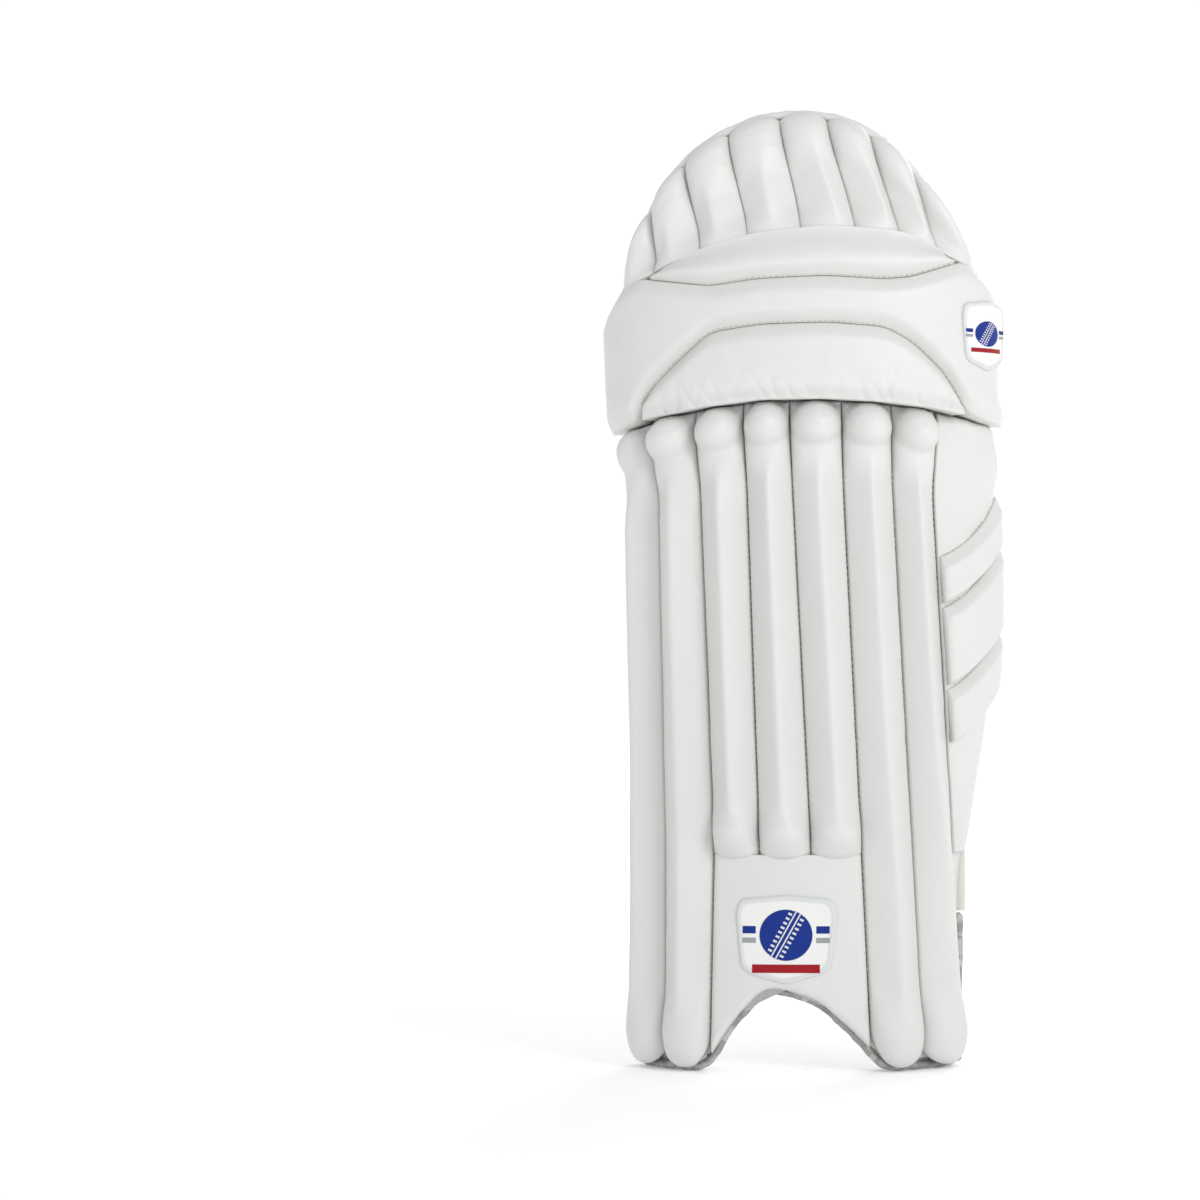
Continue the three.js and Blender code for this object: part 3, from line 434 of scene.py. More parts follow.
def fans_volume(points, faces):
    """Six times the volume under fans of triangles over the faces, which all have as many corners."""
    p = points[faces] - points.mean(0)
    return (np.cross(p[:, 1:-1], p[:, 2:]) * p[:, :1]).sum()


def facing_out(points, *groups):
    """The faces of all groups, turned round if the volume of the solid comes out negative."""
    way = 1 if sum(fans_volume(points, faces) for faces in groups) > 0 else -1
    return [face[::way] for faces in groups for face in faces.tolist()]


def make_piece(name, points, faces, finish, uv=None, marks=None):
    """A smooth-shaded mesh at the origin, from points in millimetres, UVs and marks at each vertex."""
    mesh = bpy.data.meshes.new(name)
    points = points.reshape(-1, 3)
    mesh.from_pydata((points * MM).tolist(), [], faces)
    if uv is not None:
        corner = np.empty(len(mesh.loops), int)
        mesh.loops.foreach_get("vertex_index", corner)
        layer = mesh.uv_layers.new(name="surface")
        layer.data.foreach_set("uv", (uv.reshape(-1, 2)[corner] * MM).ravel())
    for mark, values in (marks or {}).items():
        mesh.attributes.new(mark, "FLOAT", "POINT").data.foreach_set("value", values.ravel())
    mesh.polygons.foreach_set("use_smooth", np.ones(len(mesh.polygons), bool))
    mesh.update()
    piece = bpy.data.objects.new(name, mesh)
    bpy.context.scene.collection.objects.link(piece)
    mesh.materials.append(finish)
    return piece


def dress(piece, slot, *nodes, fill=None):
    """The piece rides on the pad and stands for its CAD nodes, which are hidden. Its slot is not used."""
    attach(piece, "root")
    if nodes:
        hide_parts(*nodes)
    return piece


def closed_tube(name, rows, finish, uv=None, marks=None):
    """A closed solid from rows of closed loops, each joined to the next, with a cap at both ends."""
    count, around = rows.shape[:2]
    ring = np.arange(around)
    caps = np.array([ring[::-1], ring + (count - 1) * around])
    points = rows.reshape(-1, 3)
    faces = facing_out(points, quads(count, around, False, True), caps)
    return make_piece(name, points, faces, finish, uv, marks)


def steps(front, axis):
    """The length from the first to each row or column of a grid of points, along the grid."""
    step = np.linalg.norm(np.diff(front, axis=axis), axis=-1)
    return np.concatenate([np.zeros_like(step.take([0], axis)), np.cumsum(step, axis)], axis)


def cushion(name, angle, height, out, back, finish, marks, backs):
    """A pad on the wrap: its outer skin is a grid of angles, heights and distances out, its back lies at
    the distance back, and each row closes round behind. UVs are the lengths from its middle and its top."""
    angle, height, out = np.broadcast_arrays(angle, height, out)
    columns = angle.shape[1]
    behind = np.linspace(columns - 1, 0, backs).round().astype(int)
    front = wrap(angle, height, out)
    rear = wrap(angle[:, behind], height[:, behind], back)
    u, v = steps(front, 1), steps(front, 0)
    u, v = u - u[:, columns // 2, None], v - v[-1:]
    u_rear = u[:, behind]
    u_rear[:, 0] += np.linalg.norm(front[:, -1] - rear[:, 0], axis=-1)
    u_rear[:, -1] -= np.linalg.norm(front[:, 0] - rear[:, -1], axis=-1)
    uv = np.stack([np.hstack([u, u_rear]), np.hstack([v, v[:, behind]])], -1)
    kept = {mark: np.hstack([values, values[:, behind]]) for mark, values in marks.items()}
    return closed_tube(name, np.hstack([front, rear]), finish, uv, kept)


def crowded(count, amount=0.55):
    """Shares from 0 to 1 that crowd towards both ends: a blend of even steps with a cosine's."""
    even = np.linspace(0, 1, count)
    return lerp(even, 0.5 - 0.5 * np.cos(np.pi * even), amount)


swelling = []


def swells(piece, pinned, cap):
    """Puts a piece down for the cloth simulation, held at the pinned vertices."""
    group = piece.vertex_groups.new(name="held")
    group.add(np.flatnonzero(pinned.ravel()).tolist(), 1.0, "REPLACE")
    swelling.append((piece, cap))


def simulate(frames=20, pressure=20.0):
    """Runs one cloth simulation over all the pieces put down for it: air pressure inside closed skins
    and no gravity. Each vertex then moves to where it came to, but no further than the piece's cap."""
    scene = bpy.context.scene
    swollen = swelling
    for piece, _ in swollen:
        cloth = piece.modifiers.new("swell", "CLOTH")
        settings = cloth.settings
        settings.use_pressure = True
        settings.uniform_pressure_force = pressure
        settings.vertex_group_mass = "held"
        settings.effector_weights.gravity = 0
        settings.quality = 5
        cloth.point_cache.frame_end = frames
    for now in range(1, frames + 1):
        scene.frame_set(now)
    graph = bpy.context.evaluated_depsgraph_get()
    for piece, cap in swollen:
        count = len(piece.data.vertices)
        start, end = np.empty(count * 3), np.empty(count * 3)
        piece.data.vertices.foreach_get("co", start)
        piece.evaluated_get(graph).data.vertices.foreach_get("co", end)
        move = (end - start).reshape(-1, 3)
        length = np.linalg.norm(move, axis=1, keepdims=True)
        limit = cap * MM
        move *= limit * np.tanh(length / limit) / np.maximum(length, 1e-9)
        piece.modifiers.remove(piece.modifiers["swell"])
        piece.data.vertices.foreach_set("co", start + move.ravel())
        piece.data.update()
    scene.frame_set(1)
    for piece, _ in swelling:
        rounder = piece.modifiers.new("round", "SUBSURF")
        rounder.levels = rounder.render_levels = 1


# Materials


def maths(operation, turned=False):
    """A method that adds a Math node over a paint and other values, the other way round where turned."""

    def method(self, *others):
        values = (*others, self) if turned else (self, *others)
        return self.finish.node("ShaderNodeMath", {"operation": operation}, dict(enumerate(values)))

    return method


class Paint:
    """A socket of a material's nodes. Arithmetic on it adds Math nodes."""

    __add__ = maths("ADD")
    __radd__ = maths("ADD", turned=True)
    __sub__ = maths("SUBTRACT")
    __rsub__ = maths("SUBTRACT", turned=True)
    __mul__ = maths("MULTIPLY")
    __truediv__ = maths("DIVIDE")
    __abs__ = maths("ABSOLUTE")
    floor = maths("FLOOR")
    least = maths("MINIMUM")
    most = maths("MAXIMUM")
    root = maths("SQRT")
    pingpong = maths("PINGPONG")

    def __init__(self, finish, socket):
        self.finish, self.socket = finish, socket

    def wave(self):
        """The distance of the value from the nearest whole number."""
        return self.pingpong(0.5)

    def below(self, edge, soft):
        """1 where the value is below the edge and 0 above it, over a soft width."""
        values = {"Value": self, "From Min": edge + soft, "From Max": edge - soft}
        return self.finish.node("ShaderNodeMapRange", {"interpolation_type": "SMOOTHSTEP"}, values)


class Nodes:
    """A tree of nodes, which all come through node()."""

    def __init__(self, tree):
        self.tree = tree

    def node(self, kind, settings=None, values=None, output=0):
        """Adds a node, sets its own settings first, then its sockets, and returns one of its outputs."""
        node = self.tree.nodes.new(kind)
        for setting, value in (settings or {}).items():
            setattr(node, setting, value)
        for socket, value in (values or {}).items():
            if isinstance(value, Paint):
                self.tree.links.new(value.socket, node.inputs[socket])
            else:
                node.inputs[socket].default_value = value
        return Paint(self, node.outputs[output])


class Finish(Nodes):
    """A material: its own nodes before one shader."""

    def __init__(self, name, **constants):
        self.material = bpy.data.materials.new(name)
        self.material.use_nodes = True
        super().__init__(self.material.node_tree)
        self.shader = self.tree.nodes["Principled BSDF"]
        for socket, value in constants.items():
            self.shader.inputs[socket.replace("_", " ")].default_value = value

    def place(self):
        """The place on the object, in metres."""
        return self.node("ShaderNodeTexCoord", output="Object")

    def surface(self):
        """The two lengths along the piece's own surface, in millimetres."""
        uv = self.node("ShaderNodeUVMap", {"uv_map": "surface"})
        return [self.node("ShaderNodeSeparateXYZ", None, {"Vector": uv}, axis) / MM for axis in "XY"]

    def mark(self, name):
        """A mark that the mesh carries at each vertex."""
        return self.node("ShaderNodeAttribute", {"attribute_name": name}, None, "Fac")

    def grain(self, scale, detail=2.0, distortion=0.0):
        """Noise from 0 to 1, with a scale in cells per metre."""
        values = {"Vector": self.place(), "Scale": scale, "Detail": detail, "Distortion": distortion}
        return self.node("ShaderNodeTexNoise", None, values)

    def mix(self, share, first, second):
        """A colour the share of the way from the first to the second."""
        values = {0: share, 6: first, 7: second}
        return self.node("ShaderNodeMix", {"data_type": "RGBA"}, values, 2)

    def paint(self, socket, value):
        self.tree.links.new(value.socket, self.shader.inputs[socket])

    def relief(self, height, depth):
        """Bumps of a depth in millimetres."""
        values = {"Height": height, "Distance": depth * MM, "Strength": 1.0}
        self.paint("Normal", self.node("ShaderNodeBump", None, values))


def colour(red, green, blue):
    """A colour from its 0 to 255 screen values, as the linear light that shaders use."""
    light = [v / 255 for v in (red, green, blue)]
    linear = [v / 12.92 if v <= 0.04045 else ((v + 0.055) / 1.055) ** 2.4 for v in light]
    return (*linear, 1.0)


WHITE = colour(214, 215, 213)
SHADED_WHITE = colour(203, 204, 201)
BLUE = colour(0, 40, 128)
RED = colour(150, 4, 22)
SILVER = colour(150, 153, 156)
BAR_STEP = 26
HOLE_STEP = 4.8
HOLE_ROW = 2.3


def leather():
    """White coated leather: a fine pebbled grain, soft mottling, and painted shade in the folds at the
    seams.
    """
    f = Finish("leather", Roughness=0.42, Specular_IOR_Level=0.45)
    pebble = f.grain(850, 3.0)
    cloud = f.grain(14, 3.0)
    # The seam mark paints shade into the colour, darkening the leather towards its seams.
    seam = f.mark("seam")
    f.paint("Base Color", f.mix((cloud * 0.45 + seam * 0.3).least(1.0), WHITE, SHADED_WHITE))
    f.paint("Roughness", 0.36 + cloud * 0.14)
    f.relief(pebble * 0.7 + f.grain(240, 2.0) * 0.6, 0.12)
    return f.material


def stitch_thread():
    """Off-white thread."""
    f = Finish("stitch_thread", Roughness=0.8)
    f.paint("Base Color", f.mix(f.grain(500), colour(176, 176, 168), colour(205, 205, 198)))
    return f.material


def silver_tape():
    """Satin tape, crumpled: a fine grain in its bumps, and bright and dark patches of painted highlight and
    painted shade, darkest in the folds.
    """
    f = Finish("silver_tape", Metallic=0.3, Roughness=0.4)
    crumple = f.grain(75, 3.0, distortion=0.4)
    folds = abs(crumple - 0.5).below(0.02, 0.02)
    # Painted shade in the low patches of the crumple and in its folds; the lighter colour between them is
    # painted highlight.
    crumple_shade = crumple.below(0.5, 0.2) * 0.75 + folds * 0.25
    f.paint("Base Color", f.mix(crumple_shade, colour(186, 187, 184), colour(98, 100, 99)))
    f.paint("Roughness", 0.28 + crumple * 0.3)
    f.relief(crumple + f.grain(900) * 0.2, 1.0)
    return f.material


def plain_ball(u, v, radius):
    """A ball with a slanting seam: two lines along it and short stitches across on both sides of them."""
    ball = (u * u + v * v).root().below(radius, 0.25)
    across, along = u * 0.88 - v * 0.47, u * 0.47 + v * 0.88
    unit = radius / 17
    lines = abs(abs(across) - 1.5 * unit).below(0.45 * unit, 0.12)
    steps_along = (along / (3.4 * unit)).wave().below(0.2, 0.06)
    ties = abs(abs(across) - 4.2 * unit).below(1.3 * unit, 0.12) * steps_along
    return ball, (lines + ties).least(1.0) * ball


def bar(u, v, middle, half_long, level, half_high):
    """1 inside a level bar on both sides of the middle, and 0 outside it."""
    return abs(abs(u) - middle).below(half_long, 0.2) * abs(v - level).below(half_high, 0.2)


def badge_print(name, scale):
    """A moulded badge: a raised rim, and inside it a plain ball between blue and grey bars, over a red
    bar. The scale is the badge's width over that of the big one."""
    f = Finish(name, Roughness=0.45, Specular_IOR_Level=0.25)
    u, v = f.surface()
    u, v = u / scale, v / scale - 3.5
    ball, seam = plain_ball(u, v, 19.5)
    blue_bars = bar(u, v, 27.3, 5.0, 4.0, 2.8)
    grey_bars = bar(u, v, 27.3, 5.0, -4.0, 1.9)
    red_bar = bar(u, v, 0.0, 25.0, -25.6, 3.2)
    white = f.mix(f.mark("rim"), colour(226, 227, 225), colour(208, 210, 212))
    blue = f.mix((ball + blue_bars).least(1.0), white, BLUE)
    grey = f.mix(grey_bars, blue, SILVER)
    f.paint("Base Color", f.mix(red_bar, f.mix(seam, grey, WHITE), RED))
    f.relief((ball + blue_bars + grey_bars + red_bar).least(1.0) + f.grain(800, 2.0) * 0.05, 0.5)
    return f.material


def spacer_mesh():
    """White spacer mesh: rows of oval holes, each row set half a step from the last, in a soft knit, with
    painted shade in the holes.
    """
    f = Finish("spacer_mesh", Roughness=0.85)
    u, v = f.surface()
    row = v / HOLE_ROW
    near = row - row.floor() - 0.5
    across = (0.5 - (u / HOLE_STEP + row.floor() * 0.5).wave()) * HOLE_STEP
    up = near * HOLE_ROW
    hole = (across * across / 1.9 + up * up).root().below(0.66, 0.3)
    knit = f.mix(f.grain(20, 2.0), colour(230, 230, 226), colour(218, 219, 215))
    # The holes are painted grey: painted shade inside them.
    f.paint("Base Color", f.mix(hole * 0.72, knit, colour(142, 143, 141)))
    f.relief((1 - hole) + f.grain(1300) * 0.25, 0.6)
    return f.material


def webbing():
    """Woven webbing: a diagonal twill with fine ribs along it, and a fine pile where the loop mark is set.
    """
    f = Finish("webbing", Roughness=0.75)
    u, v = f.surface()
    loop = f.mark("loop")
    twill = ((u + v * 1.15) / 2.4).wave() * 2 * (1 - loop)
    ribs = (v / 0.9).wave() * 2
    cloud = f.grain(40, 2.0)
    thread = f.mix(twill, colour(204, 205, 201), colour(230, 230, 226))
    pile = f.mix(f.grain(900, 3.0), colour(212, 211, 203), colour(224, 223, 216))
    f.paint("Base Color", f.mix(cloud * 0.3, f.mix(loop, thread, pile), colour(208, 206, 197)))
    f.relief(twill * 0.8 + ribs * (1 - loop) * 0.4 + loop * f.grain(900, 3.0), 0.35)
    return f.material


def satin():
    """Beige-white lining cloth with a soft sheen, fine weave and small creases."""
    f = Finish("satin", Roughness=0.55, Sheen_Weight=0.3, Sheen_Roughness=0.4)
    crease = f.grain(60, 4.0, distortion=0.6)
    f.paint("Base Color", f.mix(crease, colour(232, 227, 222), colour(220, 213, 208)))
    f.relief(crease * 0.8 + f.grain(1500) * 0.12, 0.8)
    return f.material


def strip_cloth():
    """Blue cloth with white round-ended bars across it below the calf strap, long and short in turn."""
    f = Finish("strip_cloth", Roughness=0.6, Specular_IOR_Level=0.25)
    u, v = f.surface()
    side = f.mark("middle")
    step = v / BAR_STEP
    near = (step - step.floor() - 0.5) * BAR_STEP
    long_one = (step.floor() / 2.0).wave() * 2.0
    beyond = (abs(side) - (6.0 + long_one * 8.0)).most(0.0)
    white = (beyond * beyond + near * near).root().below(7.5, 0.35) * v.below(-130.5, 0.3)
    base = f.mix(f.grain(30, 2.0), colour(0, 38, 84), colour(4, 48, 98))
    f.paint("Base Color", f.mix(white, base, colour(236, 237, 234)))
    f.relief(((u / 0.8).wave() + (v / 0.8).wave()) * 0.6 + f.grain(80), 0.15)
    return f.material


def lining_print():
    """The printed lining over the thigh: an off-white top and a blue foot, a red arc with silver edges
    between them and thin white arcs below it, and one plain ball between grey and red bars."""
    f = Finish("lining_print", Roughness=0.5, Specular_IOR_Level=0.25)
    side, level = f.mark("side"), f.mark("level")
    arc = level - side * side * 0.0052
    off_white = f.mix(f.grain(25, 2.0), colour(226, 227, 222), colour(216, 217, 212))
    field_colour = off_white
    for edge, tone in ((56, SILVER), (54, RED), (38, SILVER), (36, BLUE)):
        field_colour = f.mix(arc.below(edge, 0.4), field_colour, tone)
    pins = abs(abs(arc - 24.0) - 4.0).below(0.8, 0.3)
    lined = f.mix(pins, field_colour, colour(226, 230, 236))
    ball, seam = plain_ball(side, level - 94.0, 20.0)
    grey_bars = bar(side, level - 94.0, 40.0, 14.0, 5.0, 2.6)
    red_bars = bar(side, level - 94.0, 37.0, 11.0, -5.0, 3.6)
    marked = f.mix(red_bars, f.mix(grey_bars, f.mix(ball, lined, BLUE), SILVER), RED)
    f.paint("Base Color", f.mix(seam, marked, WHITE))
    f.relief(f.grain(1100, 2.0) + f.grain(90) * 0.8 + (ball + red_bars + grey_bars) * 0.8, 0.2)
    return f.material


def ring_plastic():
    """Glossy white plastic."""
    f = Finish("ring_plastic", Roughness=0.22, Coat_Weight=0.3)
    f.paint("Base Color", f.mix(f.grain(60), colour(228, 229, 229), colour(217, 218, 218)))
    f.relief(f.grain(500), 0.02)
    return f.material


def grey_tab():
    """A stiff grey tab with a fine cross rib."""
    f = Finish("grey_tab", Roughness=0.5)
    u, v = f.surface()
    rib = ((u + v) / 1.2).wave() * 2
    f.paint("Base Color", f.mix(rib, colour(134, 140, 146), colour(164, 168, 173)))
    f.relief(rib, 0.15)
    return f.material


def patch_rubber():
    """The moulded patch: white, a plain blue ball over a red bar on its raised field, and a blue bar and
    three dots on its long end."""
    f = Finish("patch_rubber", Roughness=0.45, Specular_IOR_Level=0.25)
    u, v = f.surface()
    ball, seam = plain_ball(u + 60.0, v - 7.0, 12.5)
    red_bar = bar(u + 60.0, v, 0.0, 17.0, -12.0, 2.0)
    blue_bar = bar(u - 6.0, v, 0.0, 24.0, 9.5, 1.6)
    dot = (u / 9.0).wave() * 9.0
    dots = (dot * dot + (v - 18.0) * (v - 18.0)).root().below(2.3, 0.15) * abs(u - 9.0).below(13.4, 0.1)
    white = f.mix(f.grain(40), colour(230, 230, 228), colour(221, 222, 221))
    printed = (ball + blue_bar + dots).least(1.0)
    f.paint("Base Color", f.mix(red_bar, f.mix(seam, f.mix(printed, white, BLUE), WHITE), RED))
    f.relief(printed + red_bar + f.grain(700) * 0.08, 0.4)
    return f.material


LEATHER = leather()
THREAD = stitch_thread()
TAPE = silver_tape()
BADGE = badge_print("badge_print", 1.0)
SMALL_BADGE = badge_print("small_badge_print", 0.5)
MESH = spacer_mesh()
WEBBING = webbing()
SATIN = satin()
STRIP = strip_cloth()
PRINT = lining_print()
PLASTIC = ring_plastic()
TAB = grey_tab()
PATCH = patch_rubber()


# Stitching

stitches = []
STITCH = 2.6
STITCH_PITCH = 4.2
STITCH_RADIUS = 0.32


def stitched(angle, height, out, pitch=STITCH_PITCH, way=1):
    """Marks stitches along a line on the wrap: even steps along it, each with its direction and normal."""
    fine = wrap(angle, height, out)
    lift = wrap(angle, height, np.asarray(out) + way) - fine
    stitched_path(fine, lift, pitch)


def stitched_path(fine, lift, pitch):
    """The same along any path of points, with the way out of the cloth at each."""
    length = lengths_along(fine)
    at = np.arange(pitch / 2, length[-1], pitch)

    def between(values, places):
        return np.stack([np.interp(places, length, values[:, k]) for k in range(3)], -1)

    along = units(between(fine, at + 0.5) - between(fine, at - 0.5))
    stitches.append(np.stack([between(fine, at), along, units(between(lift, at))], 1))


def sew():
    """All stitches as one piece: each a six-sided spindle along its seam, bowed out of the cloth."""
    where = np.concatenate(stitches)
    centre, along, normal = where[:, 0], where[:, 1], where[:, 2]
    across = np.cross(along, normal)
    rings = np.array([-1, -0.7, 0, 0.7, 1])
    radii = np.array([0.15, 0.8, 1, 0.8, 0.15]) * STITCH_RADIUS
    bow = np.array([-0.5, -0.1, 0.15, -0.1, -0.5]) * STITCH_RADIUS
    turn = np.arange(6) * np.pi / 3
    points = (
        centre[:, None, None]
        + along[:, None, None] * (rings * STITCH / 2)[None, :, None, None]
        + across[:, None, None] * (radii[:, None] * np.cos(turn))[None, :, :, None]
        + normal[:, None, None] * (bow[:, None] + radii[:, None] * np.sin(turn))[None, :, :, None]
    )
    sides, size = len(turn), len(turn) * len(rings)
    one = quads(len(rings), sides, False, True)
    ends = np.array([np.arange(sides)[::-1], np.arange(size - sides, size)])
    way = 1 if fans_volume(points[0].reshape(-1, 3), one) > 0 else -1
    first = size * np.arange(len(points))[:, None, None]
    groups = [(first + group).reshape(-1, group.shape[1])[:, ::way].tolist() for group in (one, ends)]
    faces = groups[0] + groups[1]
    dress(make_piece("stitching", points, faces, THREAD), "leather_white")


# The front


# A cane's section: the width of its shoulders, their share of it, and how round its ridge is
SHOULDER = 1.5
SHOULDER_SHARE = 0.24
RIDGE_ROUND = 0.09

# A cane's ends: how high its foot starts, the rounding of a long and a short one, the middle and reach
# of its knobs from the end, the length that its head's rows take up, and about how high its hem is
FOOT_UP = 3.4
LONG_TIP = 17
SHORT_TIP = 3.5
HEAD_KNOB = (17, 20)
FOOT_KNOB = (19, 21)
HEAD_LENGTH = 60
HEM = 0.67

# Between these distances, down from the hem, a cane turns from its roof to its head, narrows to its
# neck, and goes under the knee roll
ROOF_TO_HEAD = (62, 38)
NECK = (80, 44)
UNDER_HEM = (-12, 14)

# Between these distances, up from its end, a long and a short cane turn from the roof to the foot, and
# the side of the last cane grows thin
LONG_FOOT = (66, 26)
SHORT_FOOT = (50, 22)
THIN_SIDE = (230, 90)

# How far out the width of a cane or roll is measured
WIDTH_OUT = 10


def skin(name, angle, height, out, seam, fill, backs=3, back=GAP):
    """A leather cushion over the node of that name, with a mark that is 1 at its seams, where the leather is
    painted with shade.
    """
    piece = cushion(name + "_skin", angle, height, out, back, LEATHER, {"seam": seam}, backs)
    dress(piece, "leather_white", name, fill=fill)


def roof(share, width):
    """A cane's height across it, 0 to 1: a steep round shoulder at each seam, flat flanks, a round ridge."""
    shoulder = quarter_round(to_side(share) * width / SHOULDER)
    full = np.hypot(1, RIDGE_ROUND) - RIDGE_ROUND
    flank = 1 - (np.hypot(2 * share - 1, RIDGE_ROUND) - RIDGE_ROUND) / full
    return lerp(flank, shoulder, SHOULDER_SHARE)


def larger(a, b, soft=0.12):
    """The larger of two heights, with a rounded corner where they cross."""
    return 0.5 * (a + b + np.hypot(a - b, soft))


def creased(*axes, seed=0):
    """Sharp little folds, 0 to 1: one less the size of noise, sharpened."""
    return (1 - np.abs(field(*axes, seed=seed))) ** 4


def knob(share, along, middle, reach):
    """A round knob's height, 0 to 1: half an ellipsoid about a middle along the cane, and as wide."""
    return np.sqrt(np.clip(1 - (2 * share - 1) ** 2 - ((along - middle) / reach) ** 2, 0, 1))


def seam_shade(edge, reach=3.0):
    """Where painted shade falls: 1 at a seam and falling away over a reach."""
    return np.exp(-edge / reach)


def cane_rise(number, share, width, height, above, below):
    """How far a cane stands out, 0 to 1: a roof along the shin, a neck and a knob under the hem, a round
    foot, and a thinner side where it ends the row."""
    standing = number not in SHORT_CANES
    knob_height = 1.08 if number == 1 else 1.34
    flat = lerp(roof(share, width), 0.92 * pillow(share, 0.44), ease(*ROOF_TO_HEAD, below))
    neck = flat * (1 - 0.16 * ease(*NECK, below)) * ease(*UNDER_HEM, below)
    at_foot = ease(*(LONG_FOOT if standing else SHORT_FOOT), above)
    rise = lerp(neck, 0.2 + 0.84 * pillow(share, 0.55), at_foot)
    rise = larger(rise, knob_height * knob(share, below, *HEAD_KNOB), 0.16) - 0.04
    if not standing:
        rise = larger(rise, 1.2 * knob(share, above, *FOOT_KNOB), 0.1) - 0.02
    if number in (1, 7):
        outer = share if number == 1 else 1 - share
        low_shin = 1 if number == 1 else ease(*THIN_SIDE, height)
        rise = rise * lerp(1, lerp(0.25, 1, ease(-0.05, 0.4, outer)), low_shin)
    return rise


def cane_folds(number, share, edge, angle, height, below):
    """A cane's slow ripples and the puckers at its seams, less the sharp creases under its hem."""
    ripple = 0.35 * field(height / 60, angle / 12, seed=number)
    ripple = ripple + 0.16 * field(height / 17, angle / 5, seed=number)
    pucker = 0.32 * np.exp(-edge / 4) * field(height / 5.5, edge / 6, seed=20 + number)
    slant = below / 3.2 + (share - 0.5) * 5 * np.sign(field(angle / 3, seed=30 + number) + 0.1)
    crease = 1.5 * np.exp(-below / 11) * creased(slant, share * 2.5, seed=40 + number)
    return ripple + pucker - crease


def cane(number):
    """One cane: rows from a round foot to a bulb under the knee roll, each a roof from seam to seam."""
    standing = number not in SHORT_CANES
    share = crowded(37)[None, :]

    def crossing(height):
        return lerp(cane_seam(number - 1, height), cane_seam(number, height), share)

    foot = notch_edge(crossing(0.0)) + FOOT_UP if standing else CANE_STOP * PAD_HEIGHT
    hem = knee_line("hem", crossing(HEM * PAD_HEIGHT)) - GAP
    tip = LONG_TIP * (1 - pillow(share)) if standing else SHORT_TIP * (1 - pillow(share, 0.8))
    turn = np.linspace(0, np.pi / 2, 14)[:-1, None]
    low = foot + tip + (CANE_FOOT - tip) * (1 - np.cos(turn))
    steps_up = np.linspace(0, 1, 190 if standing else 130)[:, None]
    body = lerp(foot + CANE_FOOT, hem - HEAD_LENGTH, steps_up)
    head = hem - HEAD_LENGTH * (1 - np.linspace(0, 1, 56)[1:, None])
    height = np.concatenate([low, body, head])
    rounding = np.concatenate([0.3 + 0.7 * np.sin(turn), np.ones((len(body) + len(head), 1))])

    inset = degrees_of(SEAM_GAP / 2, crossing(height), height)
    angle = crossing(height) + inset * (1 - 2 * share)
    width = row_width(angle, height, WIDTH_OUT)
    edge, above, below = to_side(share) * width, height - foot, hem - height
    rise = cane_rise(number, share, width, height, above, below)
    folds = cane_folds(number, share, edge, angle, height, below)
    out = GAP + CANE_RIDGE * rise * rounding + folds * rounding
    # Painted shade along the cane's seams and at both its ends.
    seams = np.maximum(seam_shade(edge, 2.2), seam_shade(np.minimum(below, above), 2.0))
    skin(f"cane_{number}", angle, height, out, seams, 0.8)


def band_profile(edge, bevel):
    """A band's thickness across it, 0 to 1: a flat bevel up from each seam, a round corner, a flat face."""
    slope = edge / bevel
    return 0.73 + 0.27 * (1 - larger(1 - slope, 0 * slope, 0.22))


def knee_out(angle, edge, bevel=10):
    """How far the knee roll stands out at an angle, this far from the nearest seam."""
    side_pad = np.where(np.asarray(angle) > 0, KNEE_OUTER_PAD, KNEE_SIDE_PAD)
    full = lerp(KNEE_PAD, side_pad, (np.abs(angle) / RIM) ** 2)
    return GAP + full * band_profile(edge, bevel)


def knee_band(name, low_line, high_line, ends, seed):
    """One band of the knee roll: rows round the leg, each a bevelled profile from line to line."""
    angle = np.linspace(*ends, 190)[:, None]
    share = crowded(41, 0.35)[None, :]
    low = knee_line(low_line, angle) + 0.2
    high = knee_line(high_line, angle) - 0.2
    height = lerp(low, high, share)
    at_crown = high_line == "crown"
    edge = (share if at_crown else to_side(share)) * (high - low)
    leaning = 12 * ease(0.2, 1, share) ** 1.5 if at_crown else 0
    end = np.minimum(angle - ends[0], ends[1] - angle) * 2.0
    nearest = np.minimum(edge, end + (0.2 if ends[1] < RIM else 2))
    soft = 0.5 * field(angle / 14, height / 40, seed=seed)
    soft = soft + 0.25 * field(angle / 4.5, height / 12, seed=seed + 1)
    radiate = 0.35 * np.exp(-edge / 9) * np.abs(field(angle / 1.5, height / 26, seed=seed + 2))
    if low_line == "hem":
        above = height - low
        fold = creased(angle / 4.4 + above / 26, above / 34, seed=seed + 3)
        fold = fold + creased(angle / 5.3 - above / 20, above / 30, seed=seed + 4)
        radiate = radiate + 2.6 * np.exp(-above / 13) * fold * ease(0, 3, above)
    out = knee_out(angle, nearest) + soft - radiate - leaning
    # Painted shade at the band's seams.
    skin(name, angle, height, out, seam_shade(edge, 1.6), 0.85)


